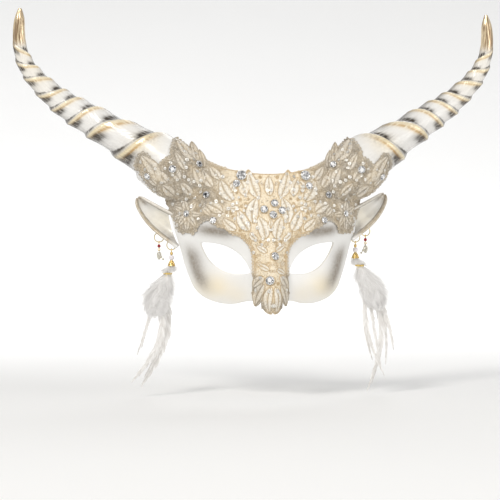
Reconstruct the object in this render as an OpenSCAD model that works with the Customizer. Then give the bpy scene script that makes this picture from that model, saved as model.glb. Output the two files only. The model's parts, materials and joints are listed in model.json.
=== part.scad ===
// Horned half mask: a moulded face shell with two spiral horns, two ears,
// a lace panel set with stones, and hanging feather and charm drops.
// Millimetres. +Z is up, the face looks along -Y, +X is the mask's left-hand
// side seen from the front. The origin is the seat on the bridge of the nose.

/* [Shell] */
// Half-width of the face curve at the temples
temple_w = 88; // [86:1:94]
// Half-width of the face curve at the cheeks
cheek_w = 76; // [74:1:80]
// Depth of the face curve from bridge to side
face_depth = 62; // [52:1:68]
// Thickness of the moulded shell
shell_t = 2.2; // [1.6:0.1:3]
// Height of the nose ridge at its lower end
nose_h = 17; // [10:1:22]

/* [Horns] */
// Height of the spiral ridge as a share of the horn's radius
ridge_h = 0.17; // [0.05:0.01:0.2]
// Number of ridges that wind round the horn
ridge_starts = 2; // [1:1:3]
// Wall thickness of the hollow horn
horn_wall = 3; // [2:0.5:4]

/* [Ears] */
// Wall thickness of an ear
ear_t = 1.7; // [1.2:0.1:2.5]
// Half-width of an ear at its widest
ear_w = 8.8; // [8:0.2:9.6]

/* [Drops] */
// Mean radius of a jump ring
ring_r = 3.8; // [3:0.1:4.5]
// Radius of the jump ring's wire
wire_r = 0.45; // [0.35:0.05:0.5]
// Largest radius of the fluffy part of a feather drop
fluff_r = 11; // [8:0.5:13]
// Length of the long plumes below the fluff
plume_len = 61; // [50:1:80]

/* [Trim] */
// Radius of the ties' hole through an eyelet
tie_r = 1.9; // [1.5:0.1:2.4]
// Thickness of the lace
lace_t = 0.6; // [0.4:0.1:1]

/* [Hidden] */
$fn = 32;
SIDES = ["left", "right"];

glue_gap = 0.4;
// Running clearance between two linked wires
link_gap = 0.08;

// ---- helpers -------------------------------------------------------------
function ramp(a, b, x) =
    let (t = min(1, max(0, (x - a) / (b - a)))) t * t * (3 - 2 * t);
function bell(x, mid, w) = exp(-pow((x - mid) / w, 2));
function unit(v) = v / norm(v);
function mix(a, b, t) = a + (b - a) * t;
function bezier(p, t) = pow(1 - t, 3) * p[0] + 3 * t * pow(1 - t, 2) * p[1]
    + 3 * t * t * (1 - t) * p[2] + pow(t, 3) * p[3];
function spline(a, b, c, d, t) = 0.5 * (2 * b + (c - a) * t
    + (2 * a - 5 * b + 4 * c - d) * t * t + (3 * b - a - 3 * c + d) * t * t * t);
// Point at share u of a smooth curve through a list of points
function along(list, u) = let (n = len(list) - 1, k = min(n - 1, floor(u * n)))
    spline(list[max(0, k - 1)], list[k], list[k + 1], list[min(n, k + 2)], u * n - k);
function sampled(list, steps) = [for (i = [0:steps]) along(list, i / steps)];

// A closed skin over a grid of points: front[i][j], back[i][j], and its rims
module sheet(front, back) {
    rows = len(front);
    cols = len(front[0]);
    flat = [for (layer = [front, back], row = layer, p = row) p];
    function at(layer, i, j) = (layer * rows + i) * cols + j;
    function quad(a, b, c, d) = [[a, c, b], [a, d, c]];
    faces = [
        for (i = [0:rows - 2], j = [0:cols - 2], layer = [0, 1])
            let (q = layer == 0
                ? quad(at(0, i, j), at(0, i + 1, j), at(0, i + 1, j + 1), at(0, i, j + 1))
                : quad(at(1, i, j), at(1, i, j + 1), at(1, i + 1, j + 1), at(1, i + 1, j)))
            each q,
        for (i = [0:rows - 2], j = [0, cols - 1])
            let (a = at(0, i, j), b = at(0, i + 1, j), c = at(1, i + 1, j), d = at(1, i, j))
            each (j == 0 ? quad(a, d, c, b) : quad(a, b, c, d)),
        for (j = [0:cols - 2], i = [0, rows - 1])
            let (a = at(0, i, j), b = at(0, i, j + 1), c = at(1, i, j + 1), d = at(1, i, j))
            each (i == 0 ? quad(a, b, c, d) : quad(a, d, c, b))
    ];
    polyhedron(points = flat, faces = faces, convexity = 6);
}

// A closed tube over rings of points, capped at both ends
module tube(rings) {
    n = len(rings[0]);
    last = len(rings) - 1;
    faces = [
        for (i = [0:last - 1], j = [0:n - 1])
            let (a = i * n + j, b = i * n + (j + 1) % n, c = a + n, d = b + n)
            each [[a, b, d], [a, d, c]],
        [for (j = [n - 1:-1:0]) j],
        [for (j = [0:n - 1]) last * n + j]
    ];
    polyhedron(points = [for (r = rings, p = r) p], faces = faces, convexity = 6);
}

module mirrored(side) {
    mirror([side == "left" ? 1 : 0, 0, 0]) children();
}

// Puts +Z along a direction at a point
module aimed(point, dir) {
    d = unit(dir);
    translate(point)
        rotate([0, acos(d[2]), atan2(d[1], d[0])]) children();
}

// ---- face surface --------------------------------------------------------
eye_mid = [35, 0];
function face_half_w(z) = mix(cheek_w, temple_w, ramp(-30, 40, z));
function nose_rise(z) = 4 * ramp(52, 22, z) + nose_h * ramp(22, -36, z);
function relief(x, z) =
    face_depth * (1 - sqrt(max(0.03, 1 - pow(x / face_half_w(z), 2))))
    + 0.0034 * pow(max(0, z - 14), 2)
    + 0.0045 * pow(max(0, -z - 8), 2)
    - nose_rise(z) * bell(x, 0, 9 + 3 * ramp(10, -30, z))
    - 3 * bell(z, 20 + 0.1 * abs(x), 9) * ramp(4, 16, abs(x)) * ramp(70, 52, abs(x))
    + 3.2 * bell(abs(x), 36, 20) * bell(z, -1, 12)
    - 2.4 * bell(abs(x), 38, 20) * bell(z, -25, 11);
relief_seat = relief(0, 0);
// Outer surface of the shell, as a depth y at the place (x, z)
function face_y(x, z) = relief(x, z) - relief_seat - shell_t;
function face_point(x, z) = [x, face_y(x, z), z];
// Unit normal of the outer surface, towards the front
function face_normal(x, z) = let (e = 0.25)
    unit([face_y(x + e, z) - face_y(x - e, z), -2 * e, face_y(x, z + e) - face_y(x, z - e)]);

// ---- shell outline, in polar form round the middle of the eye hole --------
function brow_edge(x) = 66.4 + 0.0048 * x * x + 0.0000004 * pow(x, 4);
side_edge = [[72, 96], [78, 88], [81, 74], [81, 58], [78.5, 40], [74.5, 22], [70, 8],
    [66.5, -5], [63.5, -14], [59.3, -24], [53.6, -30.5], [46, -34.6], [37, -37],
    [27, -37], [19, -35], [12, -35], [6, -38], [0, -40]];
outer_edge = concat(
    [for (x = [0:6:66]) [x, brow_edge(x)]],
    sampled(side_edge, 68));
eye_top = [[16.3, -11.6], [21, 5], [35, 12], [53.6, 11.4]];
eye_low = [[53.6, 11.4], [48.5, -4], [38, -15.8], [16.3, -11.6]];
function polar(p) = let (d = p - eye_mid) [atan2(d[1], d[0]), norm(d)];
eye_corner_in = polar(eye_top[0])[0];
eye_corner_out = polar(eye_top[3])[0];
function turned(q) = q[0] <= eye_corner_in + 0.01 ? [q[0] + 360, q[1]] : q;
eye_table = concat(
    [for (i = [24:-1:0]) polar(bezier(eye_low, i / 24))],
    [for (i = [23:-1:0]) turned(polar(bezier(eye_top, i / 24)))]);
edge_count = len(outer_edge);
edge_table = [for (i = [edge_count - 1:-1:0]) polar(outer_edge[i])];
edge_low = edge_table[0][0];
edge_high = edge_table[edge_count - 1][0];
function eye_radius(a) = lookup(a, eye_table);
function edge_radius(a) = a < edge_low || a > edge_high
    ? -eye_mid[0] / cos(a) : lookup(a, edge_table);
function spaced(a, b, n) = [for (i = [0:n - 1]) mix(a, b, i / n)];
angles = concat(spaced(eye_corner_in, edge_low, 2), spaced(edge_low, eye_corner_out, 22),
    spaced(eye_corner_out, edge_high, 14), spaced(edge_high, eye_corner_in + 360, 11));
function on_midline(a) = a <= edge_low || a >= edge_high;
function place(a, r) = eye_mid + r * [cos(a), sin(a)];

shell_bands = 11;
// Both halves of the shell as one solid, welded along the midline
module shell_skin() {
    n = len(angles);
    rows = shell_bands + 1;
    function grid_xz(k, j) = let (a = angles[j])
        place(a, mix(eye_radius(a), edge_radius(a), pow(k / shell_bands, 1.15)));
    function skin_point(half, layer, k, j) = let (
        q = grid_xz(k, j),
        x = k == shell_bands && on_midline(angles[j]) ? 0 : q[0],
        p = face_point(x, q[1]) - layer * shell_t * face_normal(x, q[1]))
        half == 0 ? p : [-p[0], p[1], p[2]];
    function at(half, layer, k, j) = let (
        jj = j % n,
        h = k == shell_bands && on_midline(angles[jj]) ? 0 : half)
        ((h * 2 + layer) * rows + k) * n + jj;
    function turned_face(half, f) = half == 0 ? f : [f[2], f[1], f[0]];
    points = [for (half = [0, 1], layer = [0, 1], k = [0:shell_bands], j = [0:n - 1])
        skin_point(half, layer, k, j)];
    faces = [
        for (half = [0, 1], k = [0:shell_bands - 1], j = [0:n - 1], layer = [0, 1])
            let (a = at(half, layer, k, j), b = at(half, layer, k, j + 1),
                c = at(half, layer, k + 1, j + 1), d = at(half, layer, k + 1, j))
            each [turned_face((half + layer) % 2, [a, b, c]),
                turned_face((half + layer) % 2, [a, c, d])],
        for (half = [0, 1], j = [0:n - 1], k = [0, shell_bands])
            if (k == 0 || !(on_midline(angles[j]) && on_midline(angles[(j + 1) % n])))
                let (a = at(half, 0, k, j), b = at(half, 0, k, j + 1),
                    c = at(half, 1, k, j + 1), d = at(half, 1, k, j),
                    h = (half + (k == 0 ? 0 : 1)) % 2)
                each [turned_face(h, [a, c, b]), turned_face(h, [a, d, c])]
    ];
    polyhedron(points = points, faces = faces, convexity = 8);
}

// The space taken by the shell and the wearer's head behind it
module head_space(gap) {
    n = 60;
    rings = 8;
    back_y = 130;
    edge_over = 0.6;
    function at(k, i) = let (
        a = mix(edge_low, edge_high, i / n),
        q = place(a, mix(1, edge_radius(a) + edge_over, k / rings)))
        lace_point(max(0, q[0]), q[1], gap);
    front = [for (k = [0:rings]) [for (i = [0:n]) at(k, i)]];
    sheet(front, [for (row = front) [for (p = row) [p[0], back_y, p[2]]]]);
}

// ---- ties ----------------------------------------------------------------
tie_place = [61, 2];
tie_normal = face_normal(tie_place[0], tie_place[1]);
// Where a tie loop's plate meets the inside of the shell
tie_point = face_point(tie_place[0], tie_place[1]) - (shell_t + glue_gap) * tie_normal;
tie_wall = 1.1;
tie_plate_t = 1;
tie_h = 4;
tie_centre = tie_point - (tie_plate_t + tie_r + tie_wall) * tie_normal;

module tie_loop(side) {
    color("goldenrod") mirrored(side) difference() {
        union() {
            aimed(tie_point, -tie_normal) cylinder(r = 5, h = tie_plate_t);
            aimed(tie_point, -tie_normal) cylinder(r = 1.6, h = tie_plate_t + tie_wall);
            translate(tie_centre - [0, 0, tie_h / 2]) cylinder(r = tie_r + tie_wall, h = tie_h);
        }
        translate(tie_centre - [0, 0, tie_h]) cylinder(r = tie_r, h = 2 * tie_h);
    }
}

// ---- horns ---------------------------------------------------------------
// Axis of a horn from root to tip, as [x, y, z, radius]
horn_axis = [[44, 34, 44, 4], [54, 38, 54, 14], [65, 42.5, 63.5, 21], [78, 47, 72.5, 23.5],
    [93, 53, 83.5, 19.8], [107, 59, 92, 16], [125.5, 68, 103.5, 13.8], [142.5, 77, 114, 12.4],
    [159, 82, 124.5, 10.8], [171.5, 84, 134.5, 9.2], [183.5, 85, 146.5, 7.9],
    [191.5, 86, 158, 6.6], [196, 86, 171, 5.5], [197, 86, 184, 5.1], [196.5, 86, 195, 4.2],
    [196, 86, 203.5, 1.4]];
horn_rings = 56;
ring_points = 20;
function horn_at(u) = along(horn_axis, u);
function horn_centre(u) = let (h = horn_at(u)) [h[0], h[1], h[2]];
function horn_dir(u) = let (e = 0.01)
    unit(horn_centre(min(1, u + e)) - horn_centre(max(0, u - e)));
// Ridges counted along the front of the horn
function horn_bands(u) = lookup(u, [[0, -2.9], [0.3, 0], [0.4, 1], [0.47, 2], [0.53, 3],
    [0.59, 4], [0.66, 5], [0.72, 6], [0.79, 7], [1, 10]]);
// Height of the ridge at phase f, with a steep tip side and a long root side
function ridge(f) = f < 0.2 ? ramp(0, 0.2, f) : pow(1 - (f - 0.2) / 0.8, 1.4);
function horn_radius(u, turn) = let (
    raw = 0.2 - ridge_starts * (turn - 90) / 360 - horn_bands(u),
    f = raw - floor(raw))
    horn_at(u)[3] * (1 + ridge_h * (ridge(f) - 0.45) * ramp(0.2, 0.28, u) * ramp(0.86, 0.78, u));
function horn_point(u, turn, lift = 0) = let (
    t = horn_dir(u), side = unit(cross(t, [0, -1, 0])), up = cross(side, t))
    horn_centre(u) + (horn_radius(u, turn) + lift) * (cos(turn) * side + sin(turn) * up);

module horn_solid() {
    tube([for (i = [0:horn_rings]) [for (j = [0:ring_points - 1])
        horn_point(i / horn_rings, j * 360 / ring_points)]]);
}

core_end = 0.66;
module horn_core(shrink) {
    steps = 11;
    for (i = [0:steps - 1]) hull() for (k = [i, i + 1]) {
        u = k / steps * core_end;
        translate(horn_centre(u))
            sphere(r = max(1, horn_at(u)[3] * (1 - ridge_h / 2) - shrink), $fn = 14);
    }
}

module horn(side) {
    color("ivory") mirrored(side) difference() {
        horn_solid();
        horn_core(horn_wall);
        head_space(glue_gap);
    }
}

screw_place = [70, 68];
screw_point = face_point(screw_place[0], screw_place[1]);
screw_out = face_normal(screw_place[0], screw_place[1]);
screw_r = 1.4;
screw_len = 15;
washer_t = 0.8;

module horn_plug(side) {
    plug_reach = 40;
    color("burlywood") mirrored(side) difference() {
        intersection() {
            horn_core(horn_wall + glue_gap);
            translate(horn_centre(0.05)) sphere(r = plug_reach, $fn = 24);
        }
        head_space(glue_gap);
        aimed(screw_point, screw_out) translate([0, 0, -2])
            cylinder(r = screw_r + 0.05, h = screw_len + 3, $fn = 16);
    }
}

// Centre of the screw's head, under the washer
screw_seat = screw_point - (shell_t + 0.35) * screw_out;
module horn_screws() {
    color("silver") for (side = SIDES) mirrored(side)
        aimed(screw_seat, screw_out) {
            translate([0, 0, -washer_t - 1.6]) cylinder(r1 = 2, r2 = 3, h = 1.6);
            translate([0, 0, -washer_t]) cylinder(r = screw_r, h = screw_len - 3);
            translate([0, 0, screw_len - 3 - washer_t]) cylinder(r1 = screw_r, r2 = 0.2, h = 3);
        }
}

module horn_washers() {
    color("silver") for (side = SIDES) mirrored(side)
        aimed(screw_seat, screw_out) translate([0, 0, -washer_t]) difference() {
            cylinder(r = 4.5, h = washer_t);
            translate([0, 0, -1]) cylinder(r = screw_r + 0.2, h = washer_t + 2);
        }
}

module mask_shell() {
    color("white") difference() {
        shell_skin();
        for (side = SIDES) mirrored(side) {
            aimed(screw_point, screw_out) translate([0, 0, -6])
                cylinder(r = screw_r + 0.3, h = 10);
        }
    }
}

// ---- ears ----------------------------------------------------------------
// Spine of an ear from root to tip, as [x, y, z, share of the half-width, depth of the cup]
ear_spine = [[66, 33, 16, 1, 5], [73, 35.5, 21.5, 1, 6.5], [80, 39, 26.5, 0.97, 6.8],
    [87, 43, 31.7, 0.85, 6], [93.5, 46.5, 37.5, 0.64, 4.6], [98.5, 50, 43, 0.39, 2.8],
    [102, 53, 48.3, 0.09, 0.7]];
// The right ear sits higher at its root than the left one
function ear_lift(side, u) = side == "left" ? 0 : mix(6, 3.2, u);
ear_steps = 13;
ear_cols = 7;
ear_half_turn = 88;
function ear_point(side, u, v, layer) = let (
    s = along(ear_spine, u), e = 0.01,
    s2 = along(ear_spine, min(1, u + e)), s1 = along(ear_spine, max(0, u - e)),
    t = unit([s2[0] - s1[0], s2[1] - s1[1], s2[2] - s1[2]]),
    across = unit(cross([-0.2, 1, 0], t)),
    back = cross(t, across),
    b = ear_half_turn * v, g = layer * (ear_t + 0.7 * pow(v, 4)))
    [s[0], s[1], s[2] + ear_lift(side, u)] + (ear_w * s[3] + g) * sin(b) * across
        + (s[4] + g) * cos(b) * back;
module ear(side) {
    color("white") mirrored(side) difference() {
        sheet([for (i = [0:ear_steps]) [for (j = [-ear_cols:ear_cols])
                ear_point(side, i / ear_steps, -j / ear_cols, 0)]],
            [for (i = [0:ear_steps]) [for (j = [-ear_cols:ear_cols])
                ear_point(side, i / ear_steps, -j / ear_cols, 1)]]);
        head_space(glue_gap);
        for (q = [inner_eye(side), outer_eye(side)]) eye_shank(q, 0.05);
    }
}

// ---- small rings, pins and beads -------------------------------------------
module torus(r, wire) {
    rotate_extrude() translate([r, 0]) circle(r = wire);
}
module ring_x(r, wire) {
    rotate([0, 90, 0]) torus(r, wire);
}
module ring_y(r, wire) {
    rotate([90, 0, 0]) torus(r, wire);
}
module rod(a, b, r) {
    aimed(a, b - a) cylinder(r = r, h = norm(b - a));
}
module bead(z, r, bore) {
    translate([0, 0, z]) difference() {
        sphere(r = r);
        translate([0, 0, -r - 1]) cylinder(r = bore, h = 2 * r + 2);
    }
}

// Each screw eye as [point on the back of the ear, direction away from it]
eye_in = 1;
eye_wire = 0.45;
eye_reach = 2.6;
function screw_eye(side, u, v) = [ear_point(side, u, v, 1), unit([0, 0.75, -0.65])];
function inner_eye(side) = screw_eye(side, side == "left" ? 0.18 : 0.2, 0.46);
function outer_eye(side) = screw_eye(side, 0.41, 0.55);
function eye_centre(q) = q[0] + eye_reach * q[1];
// Centre of the ring that hangs in a screw eye
function ring_centre(q) = eye_centre(q) - [0, 0, eye_in - wire_r - link_gap + ring_r];

module eye_shank(q, gap) {
    rod(eye_centre(q) - (eye_in + eye_wire) * q[1], q[0] - 1.5 * q[1], 0.5 + gap);
}
module ring_eyes(side) {
    color("gold") mirrored(side) for (q = [inner_eye(side), outer_eye(side)]) {
        translate(eye_centre(q)) ring_x(eye_in + eye_wire, eye_wire);
        eye_shank(q, 0);
    }
}
module hung(side, q) {
    mirrored(side) translate(ring_centre(q)) children();
}
module inner_ring(side) {
    color("gold") hung(side, inner_eye(side)) ring_y(ring_r, wire_r);
}
module outer_ring(side) {
    color("gold") hung(side, outer_eye(side)) ring_y(ring_r, wire_r);
}

// Eye pin whose loop slides round a ring
loop_in = 0.75;
pin_r = 0.35;
loop_z = -ring_r - (loop_in - wire_r - link_gap);
pin_bore = pin_r + 0.05;
module eye_pin(end_z) {
    translate([0, 0, loop_z]) ring_x(loop_in + pin_r, pin_r);
    rod([0, 0, loop_z - loop_in - pin_r], [0, 0, end_z], pin_r);
}

// ---- feather drop ----------------------------------------------------------
bead_r = 1.3;
bead_z = loop_z - loop_in - 2 * pin_r - bead_r;
pearl_r = 2.15;
pearl_z = bead_z - bead_r - pearl_r + 0.05;
cap_top = pearl_z - pearl_r - 0.1;
cap_h = 4.5;
cap_r = 3.1;
cap_base = cap_top - cap_h;
module drop_pin(side) {
    color("gold") hung(side, inner_eye(side)) {
        eye_pin(cap_base + 0.8);
        translate([0, 0, cap_base + 0.8]) cylinder(r = 0.8, h = 0.5);
    }
}
module gold_bead(side) {
    color("gold") hung(side, inner_eye(side)) bead(bead_z, bead_r, pin_bore);
}
module pearl(side) {
    color("white") hung(side, inner_eye(side)) bead(pearl_z, pearl_r, pin_bore);
}
module bead_cap(side) {
    wall = 0.5;
    color("gold") hung(side, inner_eye(side)) difference() {
        translate([0, 0, cap_base]) cylinder(r1 = cap_r, r2 = 1.1, h = cap_h);
        translate([0, 0, cap_base - wall])
            cylinder(r1 = cap_r - 0.1, r2 = 0.7, h = cap_h - 2 * wall);
        translate([0, 0, cap_top - 3]) cylinder(r = pin_bore, h = 4);
    }
}
// Outward bend of the feathers, as [depth below the cap, offset]
left_bend = [[0, 0], [5, 2.5], [24, 11], [42, 12.5], [66, 10], [86, 16], [105, 30]];
right_bend = [[0, 0], [5, 3], [24, 14], [42, 17.5], [70, 24], [95, 23.5], [112, 15]];
function feather_x(side, z) = lookup(cap_base - z, side == "left" ? left_bend : right_bend);
fluff_top = cap_base - 0.3;
fluff_len = 41;
tie_z = fluff_top - 0.14 * fluff_len;
fluff_flat = 0.7;
// Half-width of the fluff at a share of its length from the top
function fluff_half(s) = fluff_r * lookup(s, [[0, 0.26], [0.08, 0.4], [0.14, 0.24],
    [0.2, 0.42], [0.4, 0.85], [0.6, 1], [0.8, 0.95], [0.93, 0.75], [1, 0.5]]);
function feather_ring(side, z, rx, ry, n) = [for (j = [0:n - 1])
    [feather_x(side, z) + rx * cos(360 * j / n), ry * sin(360 * j / n), z]];
module feather_fluff(side) {
    color("snow") hung(side, inner_eye(side))
        tube([for (s = [0, 0.08, 0.115, 0.165, 0.2, 0.4, 0.6, 0.8, 0.93, 1])
            let (r = fluff_half(s == 0.115 || s == 0.165 ? 0.14 : s))
            feather_ring(side, fluff_top - fluff_len * s, r, fluff_flat * r, 12)]);
}
module feather_tie(side) {
    r = fluff_half(0.14) + 0.7;
    color("gold") hung(side, inner_eye(side))
        translate([feather_x(side, tie_z), 0, tie_z - 0.8]) linear_extrude(1.6) difference() {
            scale([1, fluff_flat]) circle(r = r + 0.6);
            scale([1, fluff_flat]) circle(r = r);
        }
}
plume_top = fluff_top - fluff_len - 0.4;
function plume_reach(side) = plume_len + (side == "left" ? 0 : 6);
// Half-width of the bundle of plumes at a share of its length
plume_half = [[0, 6.5], [0.3, 8], [0.6, 7.5], [0.85, 5.5], [1, 2]];
module feather_plumes(side) {
    steps = 8;
    color("snow") hung(side, inner_eye(side))
        tube([for (i = [0:steps]) let (s = i / steps)
            feather_ring(side, plume_top - plume_reach(side) * s, lookup(s, plume_half),
                3.5 - 2 * s, 10)]);
}

// ---- charm drop ------------------------------------------------------------
red_r = 1.4;
red_z = loop_z - loop_in - 2 * pin_r - red_r - 0.1;
small_in = 0.6;
small_wire = 0.28;
low_loop_z = red_z - red_r - small_in - 2 * small_wire - 0.3;
link_r = 1.5;
link_z = low_loop_z - small_in - small_wire - link_r + 2 * small_wire + link_gap;
module charm_pin(side) {
    color("gold") hung(side, outer_eye(side)) {
        eye_pin(low_loop_z + small_in + 0.2);
        translate([0, 0, low_loop_z]) ring_y(small_in + small_wire, small_wire);
    }
}
module red_bead(side) {
    color("crimson") hung(side, outer_eye(side)) bead(red_z, red_r, pin_bore);
}
module charm_link(side) {
    color("silver") hung(side, outer_eye(side))
        translate([0, 0, link_z]) ring_x(link_r, small_wire);
}
leaf_t = 0.5;
leaf_len = 6;
leaf_z = link_z - link_r - 0.05;
module leaf_charm(side) {
    hole_r = 0.8;
    color("silver") hung(side, outer_eye(side)) translate([0, leaf_t / 2 - 0.7, leaf_z])
        rotate([90, 0, 0]) linear_extrude(leaf_t) difference() {
            polygon([for (a = [0:15:345]) let (s = (1 - cos(a)) / 2)
                [2.1 * sin(a) * (1 - 0.35 * s), 1.3 - leaf_len * s]]);
            circle(r = hole_r);
        }
}
module end_beads(side) {
    drop = [-0.7, 0, -1];
    top = [0, 0.55, leaf_z];
    small_r = 0.95;
    reach = 6.4;
    color("gold") hung(side, outer_eye(side)) translate(top) {
        ring_y(small_in + 0.15, 0.2);
        aimed([0, 0, 0], drop) rotate_extrude() intersection() {
            square([small_r + 1, reach + 1]);
            union() {
                translate([-1, small_in + 0.2]) square([1.22, reach - small_in - 0.2]);
                for (z = [3.2, 5.6]) translate([0, z]) circle(r = small_r);
            }
        }
    }
}

// ---- lace ------------------------------------------------------------------
lace_gap = 0.5;
function lace_point(x, z, lift) = face_point(x, z) + lift * face_normal(x, z);
// A lace sheet over the shell, from rows of (x, z) places
module lace_over(places) {
    sheet([for (row = places) [for (q = row) lace_point(q[0], q[1], lace_gap + lace_t)]],
        [for (row = places) [for (q = row) lace_point(q[0], q[1], lace_gap)]]);
}
lace_half = 50;
function lace_low(x) = 13.5 + 0.0072 * x * x;
module lace_forehead() {
    rows = 8;
    cols = 9;
    color("wheat") lace_over([for (i = [0:rows]) [for (j = [-cols:cols])
        let (x = lace_half * j / cols) [x, mix(brow_edge(x) + 0.5, lace_low(x), i / rows)]]]);
}
function nose_lace_w(z) = lookup(z, [[-43, 5], [-40, 10], [-35, 12.5], [-22, 13.5],
    [-5, 10.5], [4, 11], [13, 15]]);
module lace_nose() {
    rows = 10;
    cols = 4;
    color("wheat") lace_over([for (i = [0:rows]) let (z = mix(12.5, -43, i / rows))
        [for (j = [-cols:cols]) [nose_lace_w(z) * j / cols, z]]]);
}
// Sheet over the temple, between the forehead lace and the edge of the shell
module lace_temple(side) {
    low = [[51, 32], [57, 27], [63, 22], [68, 25], [71, 33]];
    high = [[51, 45], [56, 42], [62, 40], [68, 40], [73, 42]];
    rows = 3;
    cols = 8;
    color("wheat") mirrored(side) lace_over([for (i = [0:rows]) [for (j = [0:cols])
        mix(along(high, j / cols), along(low, j / cols), i / rows)]]);
}
// Rings of the horn's own mesh that the lace lies over
lace_first_ring = 6;
module lace_horn(side) {
    rows = 9;
    step = 360 / ring_points;
    function at(i, j, lift) = horn_point((lace_first_ring + i) / horn_rings,
        step * (j - 1), lift);
    color("wheat") mirrored(side) difference() {
        sheet([for (i = [0:rows]) [for (j = [0:12]) at(i, j, lace_gap + lace_t)]],
            [for (i = [0:rows]) [for (j = [0:12]) at(i, j, lace_gap)]]);
        head_space(glue_gap + 1);
    }
}

// ---- stones ----------------------------------------------------------------
// A cut stone in a shallow metal cup, standing on a point along a direction
module stone(point, dir, d) {
    aimed(point, dir) {
        cylinder(r = 0.5 * d, h = 0.12 * d, $fn = 16);
        translate([0, 0, 0.12 * d]) cylinder(r1 = 0.5 * d, r2 = 0.28 * d, h = 0.22 * d, $fn = 8);
    }
}
stone_lift = lace_gap + lace_t + 0.3;
module stones_over(list) {
    color("azure") for (q = list)
        stone(lace_point(q[0], q[1], stone_lift), face_normal(q[0], q[1]), q[2]);
}
module centre_stones() {
    stones_over([[3.6, 43, 5.6], [-4.6, 38.2, 5.6], [9.4, 37.4, 5.6], [2, 33.8, 5.6]]);
}
module crest_stones() {
    stones_over([[-21.5, 65.2, 7.5], [-25.5, 58.8, 5.5], [29.8, 65.2, 7.5], [32.6, 57, 5.5]]);
}
module nose_stones() {
    stones_over([[2.2, 1, 6], [-1.8, -18, 6.5]]);
}
temple_list = [[49, 50, 5], [44.4, 29.5, 4.8], [64, 35, 4.8]];
module temple_stones(side) {
    mirrored(side) stones_over(temple_list);
}

mask_shell();
horn_screws();
horn_washers();
lace_forehead();
lace_nose();
centre_stones();
crest_stones();
nose_stones();
horn("left");  // horn_left
horn_plug("left");  // horn_plug_left
ear("left");  // ear_left
lace_horn("left");  // lace_horn_left
lace_temple("left");  // lace_temple_left
temple_stones("left");  // temple_stones_left
tie_loop("left");  // tie_loop_left
ring_eyes("left");  // ring_eyes_left
inner_ring("left");  // inner_ring_left
drop_pin("left");  // drop_pin_left
gold_bead("left");  // gold_bead_left
pearl("left");  // pearl_left
bead_cap("left");  // bead_cap_left
feather_fluff("left");  // feather_fluff_left
feather_tie("left");  // feather_tie_left
feather_plumes("left");  // feather_plumes_left
outer_ring("left");  // outer_ring_left
charm_pin("left");  // charm_pin_left
red_bead("left");  // red_bead_left
charm_link("left");  // charm_link_left
leaf_charm("left");  // leaf_charm_left
end_beads("left");  // end_beads_left
horn("right");  // horn_right
horn_plug("right");  // horn_plug_right
ear("right");  // ear_right
lace_horn("right");  // lace_horn_right
lace_temple("right");  // lace_temple_right
temple_stones("right");  // temple_stones_right
tie_loop("right");  // tie_loop_right
ring_eyes("right");  // ring_eyes_right
inner_ring("right");  // inner_ring_right
drop_pin("right");  // drop_pin_right
gold_bead("right");  // gold_bead_right
pearl("right");  // pearl_right
bead_cap("right");  // bead_cap_right
feather_fluff("right");  // feather_fluff_right
feather_tie("right");  // feather_tie_right
feather_plumes("right");  // feather_plumes_right
outer_ring("right");  // outer_ring_right
charm_pin("right");  // charm_pin_right
red_bead("right");  // red_bead_right
charm_link("right");  // charm_link_right
leaf_charm("right");  // leaf_charm_right
end_beads("right");  // end_beads_right
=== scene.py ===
"""A horned half mask with lace, stones, ears and hanging feather drops.

Lengths in the shapes below are in millimetres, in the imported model's frame: the face
looks along -Y, +Z is up, and MM turns them into Blender's metres.
"""

import json
import math

import bmesh
import bpy
import numpy as np
from mathutils import Matrix, Vector, geometry
from mathutils.bvhtree import BVHTree


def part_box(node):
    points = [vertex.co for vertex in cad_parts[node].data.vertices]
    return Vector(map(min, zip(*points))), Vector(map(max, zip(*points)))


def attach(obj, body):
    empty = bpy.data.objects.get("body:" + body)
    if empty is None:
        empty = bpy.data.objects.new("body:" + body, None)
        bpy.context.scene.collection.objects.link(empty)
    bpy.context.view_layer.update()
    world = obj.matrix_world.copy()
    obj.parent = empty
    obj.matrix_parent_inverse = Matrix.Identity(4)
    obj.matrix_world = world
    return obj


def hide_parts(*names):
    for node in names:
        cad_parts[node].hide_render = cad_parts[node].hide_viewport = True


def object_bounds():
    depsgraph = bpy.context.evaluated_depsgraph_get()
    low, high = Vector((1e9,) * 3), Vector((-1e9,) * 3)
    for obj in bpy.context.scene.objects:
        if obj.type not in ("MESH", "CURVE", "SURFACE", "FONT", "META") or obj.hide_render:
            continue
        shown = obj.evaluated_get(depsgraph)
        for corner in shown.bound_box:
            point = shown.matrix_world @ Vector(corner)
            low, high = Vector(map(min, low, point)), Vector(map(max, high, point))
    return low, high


MM = 0.001
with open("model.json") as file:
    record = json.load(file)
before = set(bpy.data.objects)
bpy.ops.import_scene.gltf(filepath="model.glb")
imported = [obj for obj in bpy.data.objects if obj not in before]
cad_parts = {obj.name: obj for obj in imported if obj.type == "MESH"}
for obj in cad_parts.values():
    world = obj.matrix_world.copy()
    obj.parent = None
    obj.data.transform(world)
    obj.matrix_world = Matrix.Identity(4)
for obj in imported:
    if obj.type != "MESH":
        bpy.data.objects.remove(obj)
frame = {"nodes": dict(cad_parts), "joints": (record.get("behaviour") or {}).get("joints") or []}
cad_box = [[float(c) for c in corner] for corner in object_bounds()]
nodes = frame["nodes"]
SIDES = {"left": -1, "right": 1}


# ---- camera, light and floor -------------------------------------------------
def look_at(obj, target):
    """Turns a camera or light to face a point."""
    obj.rotation_euler = (Vector(target) - obj.location).to_track_quat("-Z", "Y").to_euler()


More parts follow.
